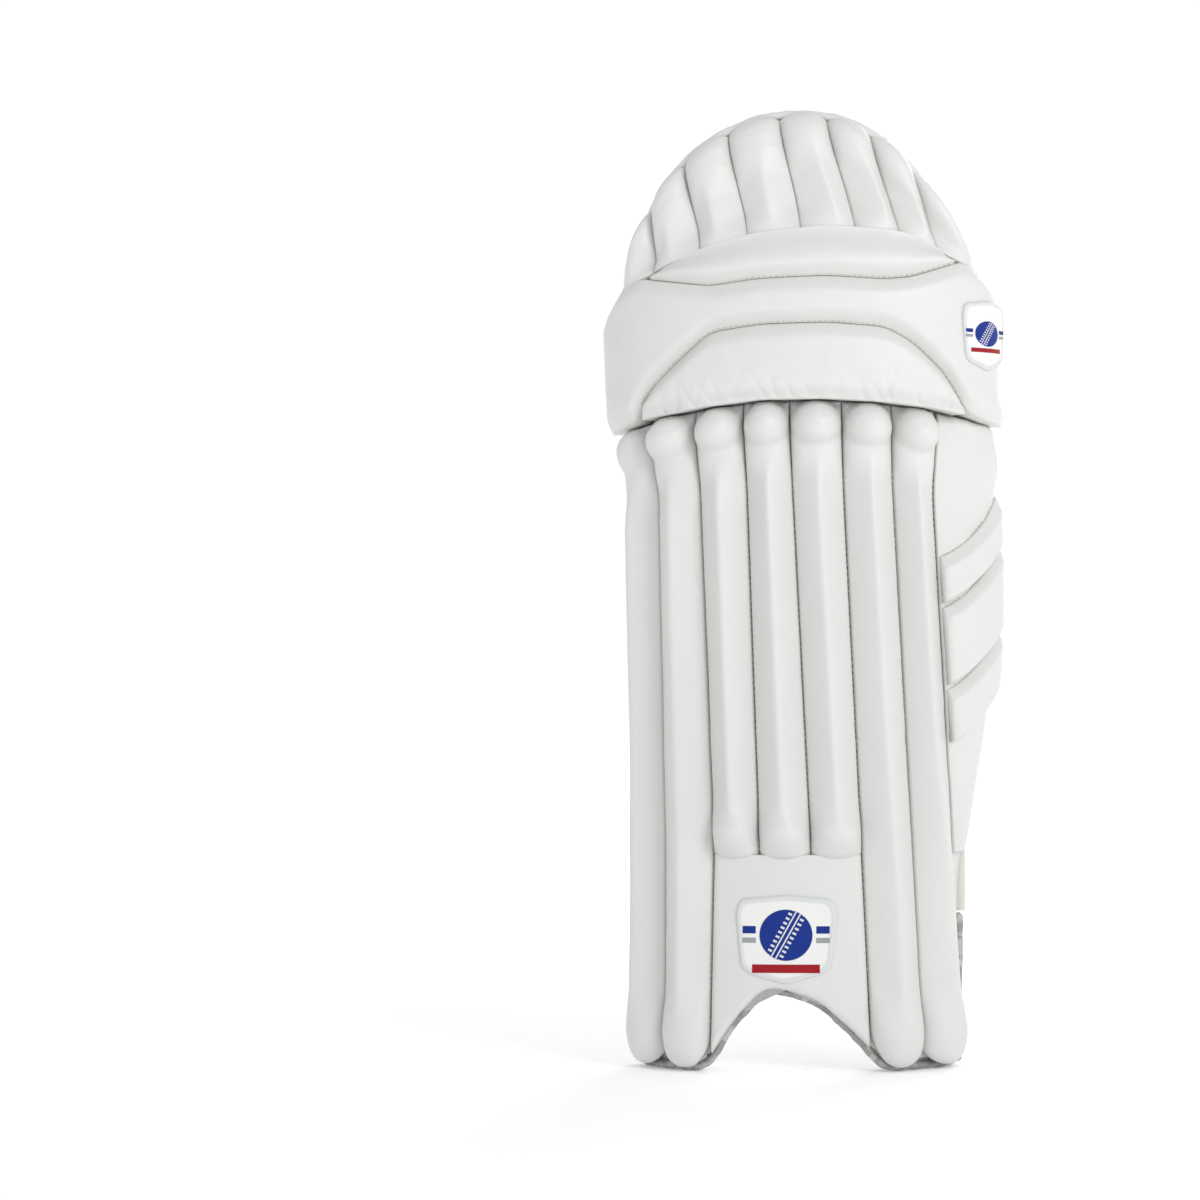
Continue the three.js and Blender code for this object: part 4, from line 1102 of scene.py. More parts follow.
def top_roll(number):
    """One roll above the knee: an S-curved roof from the crown to a round head under the dome."""
    (low_left, high_left), (low_right, high_right) = ROLL_SEAMS[number - 1], ROLL_SEAMS[number]
    share = crowded(35)[None, :]
    rise = np.linspace(0, 1, 90)[:, None]
    at_crown, at_dome = lerp(low_left, low_right, share), lerp(high_left, high_right, share)
    tip = 7 * (1 - pillow(share))
    low = knee_line("crown", at_crown) - 1
    high = dome_inset(at_dome, 0.7 * WELT_RADIUS) - tip
    eased = 1 - (1 - rise) ** 1.15
    height = lerp(low, high, eased)
    angle = lerp(at_crown, at_dome, ease(-0.15, 1.15, eased))
    angle = angle - degrees_of(0.3, at_dome, height) * (1 - 2 * share)
    width = row_width(angle, height, WIDTH_OUT)
    edge = to_side(share) * width
    down = high - height
    head = quarter_round(down / 15)
    bulb = ease(46, 22, down)
    ridge = lerp(*ROLL_RIDGES[number - 1], eased)
    skewed = np.where(share < ridge, 0.5 * share / ridge, 1 - 0.5 * (1 - share) / (1 - ridge))
    body = lerp(lerp(0.24, 0.1, rise), 1, roof(skewed, width))
    body = lerp(body, 0.6 + 0.36 * pillow(share, 0.5), ease(0.24, 0, eased))
    body = lerp(body, 0.2 + 0.86 * pillow(share, 0.5), bulb)
    full = ROLL_RIDGE * body * lerp(1.08, 0.8, rise) * (0.25 + 0.75 * head)
    ripple = 0.4 * field(height / 30, angle / 9, seed=60 + number)
    pucker = 0.35 * np.exp(-edge / 4) * field(height / 4.5, edge / 6, seed=70 + number)
    crease = 0.5 * bulb * field(down / 3.5, angle / 7, seed=80 + number) * np.exp(-down / 22)
    out = GAP + full + (ripple + pucker + crease) * head
    # Painted shade at the roll's seams.
    skin(f"top_roll_{number}", angle, height, out, seam_shade(edge, 2.2), 0.8)


def instep_panel():
    """The panel over the instep: thinly padded, flat, and puckered where its lower corners are pulled."""
    share = crowded(61, 0.4)[None, :]
    rows = crowded(110, 0.4)[:, None]
    top = CANE_STOP * PAD_HEIGHT + 3

    def side(height):
        return lerp(cane_seam(2, height), cane_seam(5, height), share)

    low = notch_edge(side(0.0)) + 1.6 * BINDING_RADIUS
    height = lerp(low, top, rows)
    angle = side(height) + degrees_of(SEAM_GAP, side(height), height) * (1 - 2 * share)
    edge = to_side(share) * row_width(angle, height, 5)
    above = height - low
    near = np.minimum(edge, above)
    full = lerp(INSTEP_EDGE, INSTEP_PAD, quarter_round(near / 7))
    pull = np.exp(-above / 16) * np.exp(-edge / 26)
    pucker = 1.5 * pull * field((above * 0.6 + edge) / 6, above / 30, seed=91)
    ripple = 0.3 * field(height / 40, angle / 12, seed=90)
    out = GAP + full + pucker + ripple
    # Painted shade at the panel's sides and lower edge.
    skin("instep_panel", angle, height, out, seam_shade(near, 2.0), 0.7, 61)


def wing_rest(angle, height):
    """The wing's outer face, with a soft rounding towards the rim and under the knee roll."""
    near = np.minimum((RIM - angle) * 1.4, knee_line("hem", angle) - height)
    puffed = 9 * ease(0.58, 0.64, height / PAD_HEIGHT) * ease(50, 80, angle) * (near > 0)
    return GAP + lerp(WING_EDGE, WING_PAD, quarter_round(near / 8)) + puffed


def wing_edge(height):
    """The angle of the seam that joins the wing to the outermost cane."""
    return cane_seam(7, height) + degrees_of(2 * SEAM_GAP, 60, height)


def wing_panel():
    """The wing round the calf: one thin padded panel that hangs from the knee roll, with slow folds."""
    share = crowded(37, 0.4)[None, :]
    rows = np.linspace(0, 1, 200)[:, None]
    top = knee_line("hem", 70.0) - GAP
    rough = lerp(WING_FOOT * PAD_HEIGHT, top, rows)
    at = lerp(wing_edge(rough), RIM, share)
    height = lerp(WING_FOOT * PAD_HEIGHT, knee_line("hem", at) - GAP, rows)
    angle = lerp(wing_edge(height), RIM - 0.4, share)
    fold = 0.7 * field(height / 50, angle / 8, seed=101) + 0.3 * field(height / 14, angle / 3, seed=102)
    hang = np.exp(-(knee_line("hem", angle) - height) / 14)
    crease = 0.7 * hang * field(angle / 1.6, height / 20, seed=103)
    out = wing_rest(angle, height) + fold + crease
    edge = (angle - wing_edge(height)) * 1.4
    # Painted shade along the wing's seam beside the cane.
    skin("wing_panel", angle, height, out, seam_shade(edge, 2.5), 0.6, 5)


def wing_rib(name, number):
    """A rib on the wing: thin at its upper seam, over a long bevel, and full at its lower one."""
    near_low, near_high, rim_low, rim_high = (v * PAD_HEIGHT for v in WING_RIBS[name])
    share = np.linspace(0, 1, 60)[:, None]
    rise = crowded(31, 0.5)[None, :]
    curve = share**1.25
    height = lerp(lerp(near_low, rim_low, curve), lerp(near_high, rim_high, curve), rise)
    angle = lerp(wing_edge(height) + 0.6, RIM - 1, share)
    span = lerp(near_high - near_low, rim_high - rim_low, curve)
    from_top, from_low = (1 - rise) * span, rise * span
    from_near = share * (RIM - wing_edge(height)) * 1.4
    bevel = np.clip(from_top / 9, 0, 1)
    ends = quarter_round((from_near + 1.5) / 6) * quarter_round(((1 - share) * 26 + 1.5) / 6)
    full = RIB_PAD * (0.12 + 0.88 * bevel * quarter_round(from_low / 4)) * ends
    ripple = 0.3 * field(height / 18, angle / 6, seed=110 + number)
    out = 2 * GAP + WING_PAD + full + ripple * bevel
    # Painted shade along the rib's upper and lower seams.
    seams = seam_shade(np.minimum(from_top, from_low) + 0 * angle, 1.8)
    skin(name, angle, height, out, seams, 0.7, back=GAP + WING_PAD - 1)
    line = np.linspace(0.02, 0.98, 60)
    top = lerp(near_high, rim_high, line**1.25) + 0.6
    stitched(lerp(wing_edge(top) + 0.8, RIM - 1.2, line), top, wing_rest(70.0, top) + 0.6)


# A badge's corners, as shares of half its width and height
SHIELD = (
    (-0.98, 0.6),
    (-0.9, 0.9),
    (0, 1.0),
    (0.9, 0.9),
    (1.0, 0.62),
    (0.88, -0.6),
    (0.74, -0.76),
    (0, -1.0),
    (-0.74, -0.76),
    (-0.88, -0.6),
)


def outline(corners, count=96):
    """A closed outline with rounded corners: straight sides between the corners, averaged along the way."""
    corners = np.array(corners, float)
    around = np.concatenate([corners, corners[:1]])
    length = lengths_along(around)
    at = np.arange(count) / count * length[-1]
    near = (at[:, None] + np.linspace(-0.1, 0.1, 7)) % length[-1]
    return np.stack([np.interp(near, length, around[:, k]).mean(-1) for k in range(2)], -1)


def badge(name, angle, up, width, height, rest, finish):
    """A moulded badge: rings of its outline from the middle out, a raised rim, and down to its rest."""
    shape = outline(SHIELD) * np.array([width / 2, height / 2])
    reach = np.array([0.02, 0.3, 0.6, 0.86, 0.885, 0.905, 0.93, 0.955, 0.98, 1.0, 1.0])
    lift = np.array([1.2, 1.2, 1.2, 1.2, 1.35, 1.8, 2.1, 2.0, 1.5, 0.8, -1.5])
    flat = shape[None] * reach[:, None, None]
    middle = up * PAD_HEIGHT
    at = angle + degrees_of(flat[..., 0], angle, middle)
    z = middle + flat[..., 1]
    rows = wrap(at, z, rest(at, z) + lift[:, None])
    rim = np.repeat(ease(0.87, 0.9, reach)[:, None], len(shape), 1)
    piece = closed_tube(name + "_moulded", rows, finish, flat, {"rim": rim})
    dress(piece, "badge_white", name)


def instep_badge_rest(angle, height):
    """The face of the instep panel."""
    return 2 * GAP + INSTEP_PAD - 0.6


def knee_badge_rest(angle, height):
    """The face of the knee roll's middle band."""
    low, high = knee_line("low_seam", angle), knee_line("high_seam", angle)
    return knee_out(angle, np.minimum(height - low, high - height)) + 0.4


def tube_along(name, path, normal, radii, finish, slot, node, seed):
    """A tape folded over an edge: circles along a path, with a crumpled radius."""
    ahead = units(np.gradient(path, axis=0))
    normal = units(normal - (normal * ahead).sum(1, keepdims=True) * ahead)
    side = np.cross(ahead, normal)
    turn = np.linspace(0, 2 * np.pi, 21)[:-1]
    cos, sin = np.cos(turn), np.sin(turn)
    length = lengths_along(path)[:, None]
    radius = radii * (1 + 0.16 * field(length / 7, 2 * cos, 2 * sin, seed=seed))
    across, along = (radius * cos)[..., None], (radius * sin)[..., None]
    rows = path[:, None] + normal[:, None] * across + side[:, None] * along
    uv = np.stack(np.broadcast_arrays(turn[None] * radii, length), -1)
    dress(closed_tube(name, rows, finish, uv), slot, node)


def dome_welt():
    """The white rolled edge of the dome, uneven where it is sewn."""
    angle = np.linspace(-64, 62, 300)
    path = wrap(angle, dome_inset(angle, WELT_RADIUS), BINDING_OUT)
    lift = wrap(angle, dome_inset(angle, WELT_RADIUS), 5) - path
    tube_along("dome_welt_roll", path, lift, WELT_RADIUS * 0.95, LEATHER, "leather_white", "dome_welt", 120)


def lower_binding():
    """The silver tape under both feet and over the instep."""
    angle = np.linspace(-RIM, RIM, 520)
    height = notch_edge(angle) + BINDING_RADIUS
    path = wrap(angle, height, BINDING_OUT)
    path[:, 2] = np.convolve(np.pad(path[:, 2], 4, "edge"), np.ones(9) / 9, "valid")
    lift = wrap(angle, height, 5) - path
    radius = BINDING_RADIUS * 0.9
    tube_along("lower_binding_tape", path, lift, radius, TAPE, "binding_silver", "lower_binding", 121)


def side_binding(name, angle, seed):
    """The silver tape up one side of the shin."""
    height = np.linspace(SIDE_BINDING_FOOT, SIDE_BINDING_TOP * PAD_HEIGHT, 110)
    beside = np.array([np.sign(angle) * 3.5, 1.5, 0])
    path = wrap(angle, height, BINDING_OUT + 1.5) + beside
    lift = wrap(angle, height, 5) - wrap(angle, height, BINDING_OUT)
    near_end = np.clip(np.minimum(height - height[0], height[-1] - height)[:, None] / 4, 0.03, 1)
    radii = 0.95 * BINDING_RADIUS * quarter_round(near_end)
    tube_along(name + "_tape", path, lift, radii, TAPE, "binding_silver", name, seed)


def front_stitching():
    """Stitches along the canes' seams and the knee roll's seams."""
    for seam in range(1, 8):
        low = CANE_STOP * PAD_HEIGHT if seam in (3, 4) else 32
        height = np.linspace(low, 0.62 * PAD_HEIGHT, 260)
        stitched(cane_seam(seam, height), height, GAP + 3.4, 5)
    for name, ends in (("low_seam", LOWER_BAND), ("high_seam", UPPER_BAND)):
        angle = np.linspace(*ends, 200)
        stitched(angle, knee_line(name, angle) + 1.2, knee_out(angle, 1.2) + 0.1, 4.6)


for number in range(1, 8):
    cane(number)
knee_band("knee_band_lower", "hem", "low_seam", LOWER_BAND, 50)
knee_band("knee_band_middle", "low_seam", "high_seam", (-RIM, RIM), 53)
knee_band("knee_band_upper", "high_seam", "crown", UPPER_BAND, 56)
for number in range(1, 9):
    top_roll(number)
instep_panel()
wing_panel()
for number, rib in enumerate(WING_RIBS):
    wing_rib(rib, number)
badge("instep_badge", -5, 0.139, 77, 68, instep_badge_rest, BADGE)
badge("knee_badge", 66.5, 0.764, 36, 54, knee_badge_rest, SMALL_BADGE)
dome_welt()
lower_binding()
side_binding("side_binding_inner", -RIM, 122)
side_binding("side_binding_outer", RIM, 123)
front_stitching()


# The inside


def bolster_rise(share):
    """A leg bolster's thickness across it."""
    return 0.16 + 0.84 * pillow(share, 0.62)


def shin_sides(name, height):
    """The angles of a shin bolster's two sides at a height."""
    ups, left, right = SHIN_BOLSTERS[name]
    up = height / PAD_HEIGHT
    return smooth(ups, left, up), smooth(ups, right, up)


def leg_bolster(name, sides, low, high, thickness, standing, seed):
    """A long bolster on the inside: rows up the leg, each a round-topped arch, drawn in at both ends."""
    share = crowded(15, 0.4)[None, :]
    length = float(np.max(high(0.0)) - low)
    rows = crowded(int(length / 5.5), 0.35)[:, None]
    tip = 9 * np.maximum(0, 1 - 1.15 * pillow(share))
    left, right = sides(low)
    edge = notch_edge(lerp(left, right, share)) if standing else low
    left_top, right_top = sides(np.float64(np.max(high(0.0))))
    top = high(lerp(left_top, right_top, share))
    height = lerp(edge + tip, top, rows)
    left, right = sides(height)
    angle = lerp(left, right, share)
    end = thickness * 0.55
    near = np.clip(np.minimum(height - edge - tip, top - height) / end, 0, 1)
    full = thickness * bolster_rise(share) * (0.42 + 0.5 * np.sqrt(near * (2 - near)))
    soft = 0.8 * field(height / 34, angle / 11, seed=seed)
    out = BOLSTER_FACE - full + soft
    held = np.zeros((len(rows), share.size + 5), bool)
    held[:, 0] = True
    held[:, share.size - 1 :] = True
    piece = cushion(name + "_pad", angle, height, out, BOLSTER_FACE, MESH, {}, 5)
    swells(piece, held, 3.5)
    dress(piece, "mesh_white", name, fill=0.85)


def knee_bolster_full(angle):
    """The knee bolster's thickness: most in the middle of the leg."""
    fall = np.clip((np.abs(angle) - 30) / (RIM - 30), 0, 1) ** 1.2
    return lerp(KNEE_BOLSTER_PAD, KNEE_BOLSTER_END, fall)


def knee_bolster(name, finish, slot, seed):
    """A cushion behind the knee: rows round the leg, each a full arch from its lower to its upper edge."""
    start, stop = KNEE_BOLSTERS[name]
    share = crowded(29, 0.4)[:, None]
    rise = crowded(31, 0.4)[None, :]
    inset = degrees_of(SEAM_GAP / 2, (start + stop) / 2, PAD_HEIGHT * 0.7)
    angle = lerp(start + inset, stop - inset, share)
    wobble = 1.6 * field(angle / 6, rise * 1.5, seed=seed + 2)
    height = lerp(bolster_line("low", angle), bolster_line("high", angle), rise) + wobble
    swell = (0.24 + 0.68 * pillow(rise, 0.5)) * (0.62 + 0.38 * pillow(share, 0.45))
    soft = 1.3 * field(height / 20, angle / 8, seed=seed)
    pucker = 1.2 * np.exp(-np.minimum(share, 1 - share) * 14) * field(height / 6, share * 4, seed=seed + 1)
    out = BOLSTER_FACE - knee_bolster_full(angle) * swell + soft + pucker
    held = np.zeros((len(share), rise.size + 3), bool)
    held[[0, -1]] = True
    held[:, 0] = True
    held[:, rise.size - 1 :] = True
    piece = cushion(name + "_pad", angle, height, out, BOLSTER_FACE, finish, {}, 3)
    swells(piece, held, 3)
    dress(piece, slot, name, fill=0.85)


def lining(name, sides, ends, thickness, finish, slot, columns, fold, seed, fill=None, nodes=None):
    """A thin lining on the inside: rows up the leg between two sides, with upright folds."""
    low, high = ends
    share = np.linspace(0, 1, columns)[None, :]
    rows = np.linspace(0, 1, 150)[:, None]

    def across(height):
        left, right = sides(height)
        return lerp(left, right, share)

    bottom, top = np.min(low(0.0)), np.max(high(0.0))
    rough = across(lerp(bottom, top, rows))
    height = lerp(low(rough), high(rough), rows)
    angle = across(height)
    width = row_width(angle, height, 0)
    edge = np.minimum(to_side(share) * width, to_side(rows) * (high(rough) - low(rough)))
    lift = 0.45 + 0.55 * quarter_round(edge / 6)
    folds = fold * field(angle / 5, height / 90, seed=seed) * np.clip(edge / 4, 0, 1)
    out = BOLSTER_FACE - thickness * lift + folds
    marks = {
        "side": wrap(angle, height, out)[..., 0],
        "level": height - PAD_HEIGHT * 0.8,
        "middle": (share - 0.5) * width,
    }
    piece = cushion(name + "_cloth", angle, height, out, BOLSTER_FACE, finish, marks, columns)
    dress(piece, slot, *(nodes if nodes is not None else [name]), fill=fill)


def upright(start, stop):
    """Sides that stay at two angles, as a function of the height."""
    return lambda height: (start + 0 * height, stop + 0 * height)


def bolster_foot(angle):
    """The height where the shin bolsters start, the same at every angle."""
    return np.asarray(angle) * 0 + SHIN_BOLSTER_FOOT * PAD_HEIGHT


def under_foot(angle):
    """The height where what lies in the foot stops, under the shin bolsters."""
    return bolster_foot(angle) - GAP


def under_knee(angle):
    """The height where what lies along the shin stops, under the knee bolsters."""
    return bolster_line("low", angle) - GAP


INNER_SHIN, OUTER_SHIN = (partial(shin_sides, "shin_bolster_" + side) for side in ("inner", "outer"))
ALONG_SHIN = (bolster_foot, under_knee)

for seed, name in enumerate(SHIN_BOLSTERS):
    low = SHIN_BOLSTER_FOOT * PAD_HEIGHT
    leg_bolster(name, partial(shin_sides, name), low, under_knee, SHIN_PAD, False, 130 + seed)
for seed, (name, sides) in enumerate(FOOT_BOLSTERS.items()):
    leg_bolster(name, upright(*sides), 0.0, under_foot, FOOT_PAD, True, 134 + seed)
knee_bolster("knee_bolster_inner", MESH, "mesh_white", 140)
knee_bolster("knee_bolster_middle", SATIN, "lining_cloth", 142)
knee_bolster("knee_bolster_outer", MESH, "mesh_white", 144)


def between_shins(height):
    """The sides of the gap between the shin bolsters."""
    return INNER_SHIN(height)[1] + SEAM_GAP, OUTER_SHIN(height)[0] - SEAM_GAP


def beyond_outer(height):
    """The sides of the place between the outer shin bolster and its rim."""
    return OUTER_SHIN(height)[1] + SEAM_GAP, RIM - 0.5 + 0 * height


def beyond_inner(height):
    """The sides of the place between the inner rim and its shin bolster."""
    return 0.5 - RIM + 0 * height, INNER_SHIN(height)[0] - SEAM_GAP


def over_notch(angle):
    """The height just over the tape round the instep."""
    return notch_edge(angle) + 1.75 * BINDING_RADIUS


def over_knee(angle):
    """The height just over the knee bolsters."""
    return bolster_line("high", angle) + GAP


def inside_dome(angle):
    """The height just inside the dome's rolled edge."""
    return dome_inset(angle, 2 * WELT_RADIUS + 2)


foot_low, foot_high = FOOT_BOLSTERS["foot_bolster_inner"][1], FOOT_BOLSTERS["foot_bolster_outer"][0]
foot_sides = upright(foot_low + SEAM_GAP, foot_high - SEAM_GAP)
dome_sides = upright(TOP_LINING_MARGIN - RIM, RIM - TOP_LINING_MARGIN)
in_foot, in_dome = (over_notch, under_foot), (over_knee, inside_dome)
lining("centre_strip", between_shins, ALONG_SHIN, STRIP_PAD, STRIP, "strip_blue", 25, 0.5, 150, 0.5)
lining("instep_lining", foot_sides, in_foot, INSTEP_LINING_PAD, MESH, "mesh_white", 41, 0.4, 151, 0.6)
lining("top_lining", dome_sides, in_dome, TOP_LINING_PAD, PRINT, "lining_print", 121, 0.8, 152, 0.6)
for side, sides, fold, seed in (("outer", beyond_outer, 1.4, 153), ("inner", beyond_inner, 1.2, 154)):
    name = "wing_lining_" + side
    lining(name, sides, ALONG_SHIN, WING_LINING_WALL, SATIN, "lining_cloth", 33, fold, seed)


# The straps


def strap_height(x, ups):
    """The height of a strap's middle this far to the side."""
    return lerp(*ups, (x / HALF + 1) / 2) * PAD_HEIGHT


def cushions_out(angle, height):
    """Where the cushions' faces are at a place on the inside."""
    shin = 0 * height
    for name in SHIN_BOLSTERS:
        left, right = shin_sides(name, height)
        share = np.clip((angle - left) / (right - left), 0, 1)
        shin = np.maximum(shin, SHIN_PAD * bolster_rise(share) * (share > 0) * (share < 1))
    knee = knee_bolster_full(angle) * (np.abs(angle) < BOLSTER_END)
    return BOLSTER_FACE - np.where(height > bolster_line("low", angle), knee, shin)


def rearmost(points, x):
    """The rearmost chord over a place, from any point before it to any point after it."""
    before, after = points[points[:, 0] <= x, None], points[None, points[:, 0] >= x]
    share = (x - before[..., 0]) / np.maximum(after[..., 0] - before[..., 0], 1e-9)
    return lerp(before[..., 1], after[..., 1], share).max()


def tight_plan(width, ups):
    """A strap pulled tight from rim to rim, seen from above: the hull of what it lies on."""
    across = np.linspace(-width / 2, width / 2, 5)[:, None]
    angle = np.linspace(-RIM, RIM, 55)[None, :]
    height = strap_height(bare_wrap(angle, ups[0] * PAD_HEIGHT, 0)[..., 0], ups) + across
    lain_on = [bare_wrap(angle, height, cushions_out(angle, height)).reshape(-1, 3)]
    for side, pad in ((-1, CANE_EDGE), (1, WING_PAD)):
        lain_on.append(bare_wrap(side * RIM, strap_height(side * HALF, ups) + across[:, 0], GAP + pad))
    points = np.concatenate(lain_on)[:, :2]
    x = np.linspace(points[:, 0].min(), points[:, 0].max(), 160)
    return x, np.array([rearmost(points, at) for at in x]) + STRAP_LIFT


def on_strap(strap, x, out, across):
    """A point at x on a strap's plan, moved out square to it and across the strap's width."""
    plan, ups = strap["plan"], strap["ups"]
    x, out, across = np.broadcast_arrays(np.asarray(x, float), out, across)
    step = 3
    y = rounded(*plan, x, 4)
    rise = rounded(*plan, x + step, 4) - rounded(*plan, x - step, 4)
    length = np.hypot(2 * step, rise)
    moved = x - out * rise / length
    return np.stack([moved, y + out * 2 * step / length, strap_height(moved, ups) + across], -1) + MIDDLE


def folded(start, bar, end):
    """A webbing's way from one place to a ring's bar, round it and back on itself: x and distance out."""
    side = np.sign(bar - start)
    radius = (RING_WALL + 2 * BAR_GAP + STRAP_WALL) / 2
    near = np.linspace(start, bar, max(6, int(abs(bar - start) / 3)))
    turn = np.linspace(0, np.pi, 15)[1:-1]
    back = np.linspace(bar, end, max(6, int(abs(bar - end) / 3)))
    opening = lerp(RING_WALL + 2 * BAR_GAP, HOOK_GAP, np.clip(abs(bar - back) / THROAT, 0, 1))
    bend = bar + side * (RING_BAR / 2 - GAP + radius * np.sin(turn))
    x = np.concatenate([near, bend, back])
    half = STRAP_WALL / 2
    out = np.concatenate([half + 0 * near, half + radius * (1 - np.cos(turn)), 3 * half + opening])
    return x, out, np.concatenate([0 * near + 1, 0 * turn, 0 * back])


def ribbon(name, strap, start, bar, end, seed):
    """Webbing folded round a bar: along its way, flat ovals of the webbing's width and thickness."""
    width = strap["width"]
    x, out, loop = folded(start, bar, end)
    middle = on_strap(strap, x, out, 0)
    ahead = units(np.gradient(middle, axis=0) * (1, 1, 0))
    side = np.stack([-ahead[:, 1], ahead[:, 0], 0 * x], -1)
    length = lengths_along(middle)[:, None]
    share = np.sin(np.linspace(-0.5, 0.5, 13) * np.pi)
    thick = STRAP_WALL / 2 * (1 - share**10 * 0.75)
    across = np.concatenate([share, share[::-1]]) * (width / 2 - 0.3)
    thick = np.concatenate([thick, -thick[::-1]])
    wander = 0.5 * field(length[:, 0] / 38, seed=seed)[:, None]
    wander = wander + 0.25 * field(length / 9, np.sign(across)[None], seed=seed)
    away = (1 - loop) * np.clip(abs(x - bar) / 40, 0, 1)
    lift = away[:, None] * 0.5 * (1 + field(length / 24, across[None] / 18, seed=seed + 1))
    rows = middle[:, None] + side[:, None] * (thick[None, :, None] - lift[..., None])
    rows = rows + np.array([0, 0, 1.0]) * (across + wander)[..., None]
    uv = np.stack(np.broadcast_arrays(length, across[None]), -1)
    marks = {"loop": np.repeat(loop[:, None], len(across), 1)}
    dress(closed_tube(name + "_webbing", rows, WEBBING, uv, marks), "webbing_white", name)


def squared(wave):
    """A sine or cosine drawn out towards a square's."""
    return np.sign(wave) * np.abs(wave) ** 0.65


def ring(name, strap):
    """A plastic ring: a rounded bar carried round a rectangle with round corners."""
    corner = 3
    quarter = np.linspace(0, np.pi / 2, 8)
    turn = (quarter + np.arange(4)[:, None] * np.pi / 2).ravel()
    quadrant = np.pi / 4 + np.repeat(np.arange(4), 8) * np.pi / 2
    half_long = (strap["opening"] + RING_BAR) / 2 - corner
    half_high = (strap["width"] + 2 * RING_SLACK + RING_BAR) / 2 - corner
    round_bar = np.linspace(0, 2 * np.pi, 17)[:-1]
    thick = RING_WALL / 2 * squared(np.sin(round_bar))
    reach = corner + RING_BAR / 2 * squared(np.cos(round_bar))[None]
    along = np.sign(np.cos(quadrant))[:, None] * half_long + reach * np.cos(turn)[:, None]
    up = np.sign(np.sin(quadrant))[:, None] * half_high + reach * np.sin(turn)[:, None]
    out = STRAP_WALL + BAR_GAP + RING_WALL / 2 + thick[None]
    points = on_strap(strap, strap["ring"] * HALF + along, out, up).reshape(-1, 3)
    faces = facing_out(points, quads(len(turn), len(round_bar), True, True))
    dress(make_piece(name + "_bar", points, faces, PLASTIC), "ring_white", name)


def plate(name, strap, x, low, high, under, over, finish, slot, relief=None):
    """A flat piece sewn on a strap: rows along it, each a thin loop from its low to its high edge."""
    share = crowded(33, 0.5)
    round_edge = quarter_round(to_side(share) * 24)
    end = quarter_round(np.minimum(x - x[0], x[-1] - x) / 1.2 + 0.1)
    across = lerp(low[:, None], high[:, None], share[None])
    face = under + (over - under) * lerp(0.25, 1, round_edge[None] * end[:, None])
    raised = relief(x[:, None], across) if relief else 0
    across = np.concatenate([across, across[:, ::-8]], 1)
    out = np.concatenate([face + raised, np.full((len(x), 5), under)], 1)
    rows = on_strap(strap, x[:, None], out, across)
    uv = np.stack(np.broadcast_arrays(x[:, None], across), -1)
    dress(closed_tube(name + "_plate", rows, finish, uv), slot, name)


def tab(name, strap):
    """The grey tab under a strap's free end, its lower corner cut back."""
    width = strap["width"]
    x = np.linspace(strap["tab"] * HALF, strap["end"] * HALF + 0.25 * width, 60)
    low = np.interp(x, [x[0], x[0] + 0.27 * width], [0.4 * width, -0.46 * width])
    under = STRAP_WALL + (HOOK_GAP - TAB_WALL) / 2
    plate(name, strap, x, low, 0 * x + 0.46 * width, under, under + TAB_WALL, TAB, "tab_grey")


def patch_edges(x, strap):
    """The low and high edge of the patch along it."""
    along, low, high = PATCH_OUTLINE.T
    return [rounded(along * HALF, edge * strap["width"], x, 3) for edge in (low, high)]


def patch_relief(x, across):
    """The patch's moulding: slanted ribs at its tip, and a raised field under the ball."""
    at_tip = ease(-92, -97, x)
    ribs = 0.9 * at_tip * ease(0.1, 0.6, np.sin((x * 0.5 + across) * 2 * np.pi / 7))
    block = ease(-91, -89.5, x) * ease(-29, -30.5, x) * ease(-19.5, -18, across) * ease(26, 24.5, across)
    return ribs + 0.6 * block


def patch(name, strap):
    """The moulded patch on the calf strap, with stitches round it."""
    x = np.linspace(PATCH_OUTLINE[0, 0] * HALF, PATCH_OUTLINE[-1, 0] * HALF, 200)
    low, high = patch_edges(x, strap)
    under = 2 * STRAP_WALL + HOOK_GAP + GAP
    plate(name, strap, x, low, high, under, under + PATCH_WALL, PATCH, "badge_white", patch_relief)
    inside = np.linspace(x[0] + 22, x[-1] - 4, 160)
    low, high = patch_edges(inside, strap)
    out = under + PATCH_WALL + 0.1
    for edge in (low + 3.2, high - 3.2):
        sew_on_strap(strap, inside, out, edge, 3.2)


def sew_on_strap(strap, x, out, across, pitch=3.6):
    """Stitches along a line on a strap."""
    fine = on_strap(strap, x, out, across)
    stitched_path(fine, on_strap(strap, x, np.asarray(out) + 1, across) - fine, pitch)


def strap_set(name, strap, seed):
    """One strap: the long webbing through its ring, the short one that holds it, and what is sewn on."""
    plan = tight_plan(strap["width"], strap["ups"])
    strap = {**strap, "plan": plan}
    middle = strap["ring"] * HALF
    to_bar = (strap["opening"] + RING_BAR) / 2
    first, last = plan[0][0], plan[0][-1]
    end = strap["end"] * HALF
    stub_end = min(last - 5, middle + to_bar + 0.5 * strap["width"])
    ribbon(name + "_strap", strap, first + 1.5, middle - to_bar, end, seed)
    ribbon(name + "_strap_stub", strap, last - 3.5, middle + to_bar, stub_end, seed + 3)
    ring(name + "_ring", strap)
    line = np.linspace(-0.44, 0.44, 40) * strap["width"]
    top = 2 * STRAP_WALL + HOOK_GAP + 0.5
    for x in (end + 3, end + 5.5, middle - to_bar - THROAT - 3, stub_end - 2.5):
        sew_on_strap(strap, x, top, line)
    if strap["tab"]:
        tab(name + "_tab", strap)
    else:
        patch(name + "_patch", strap)


def over_binding(angle):
    """The height just over the tape under the feet."""
    return 2 * BINDING_RADIUS + 0 * angle


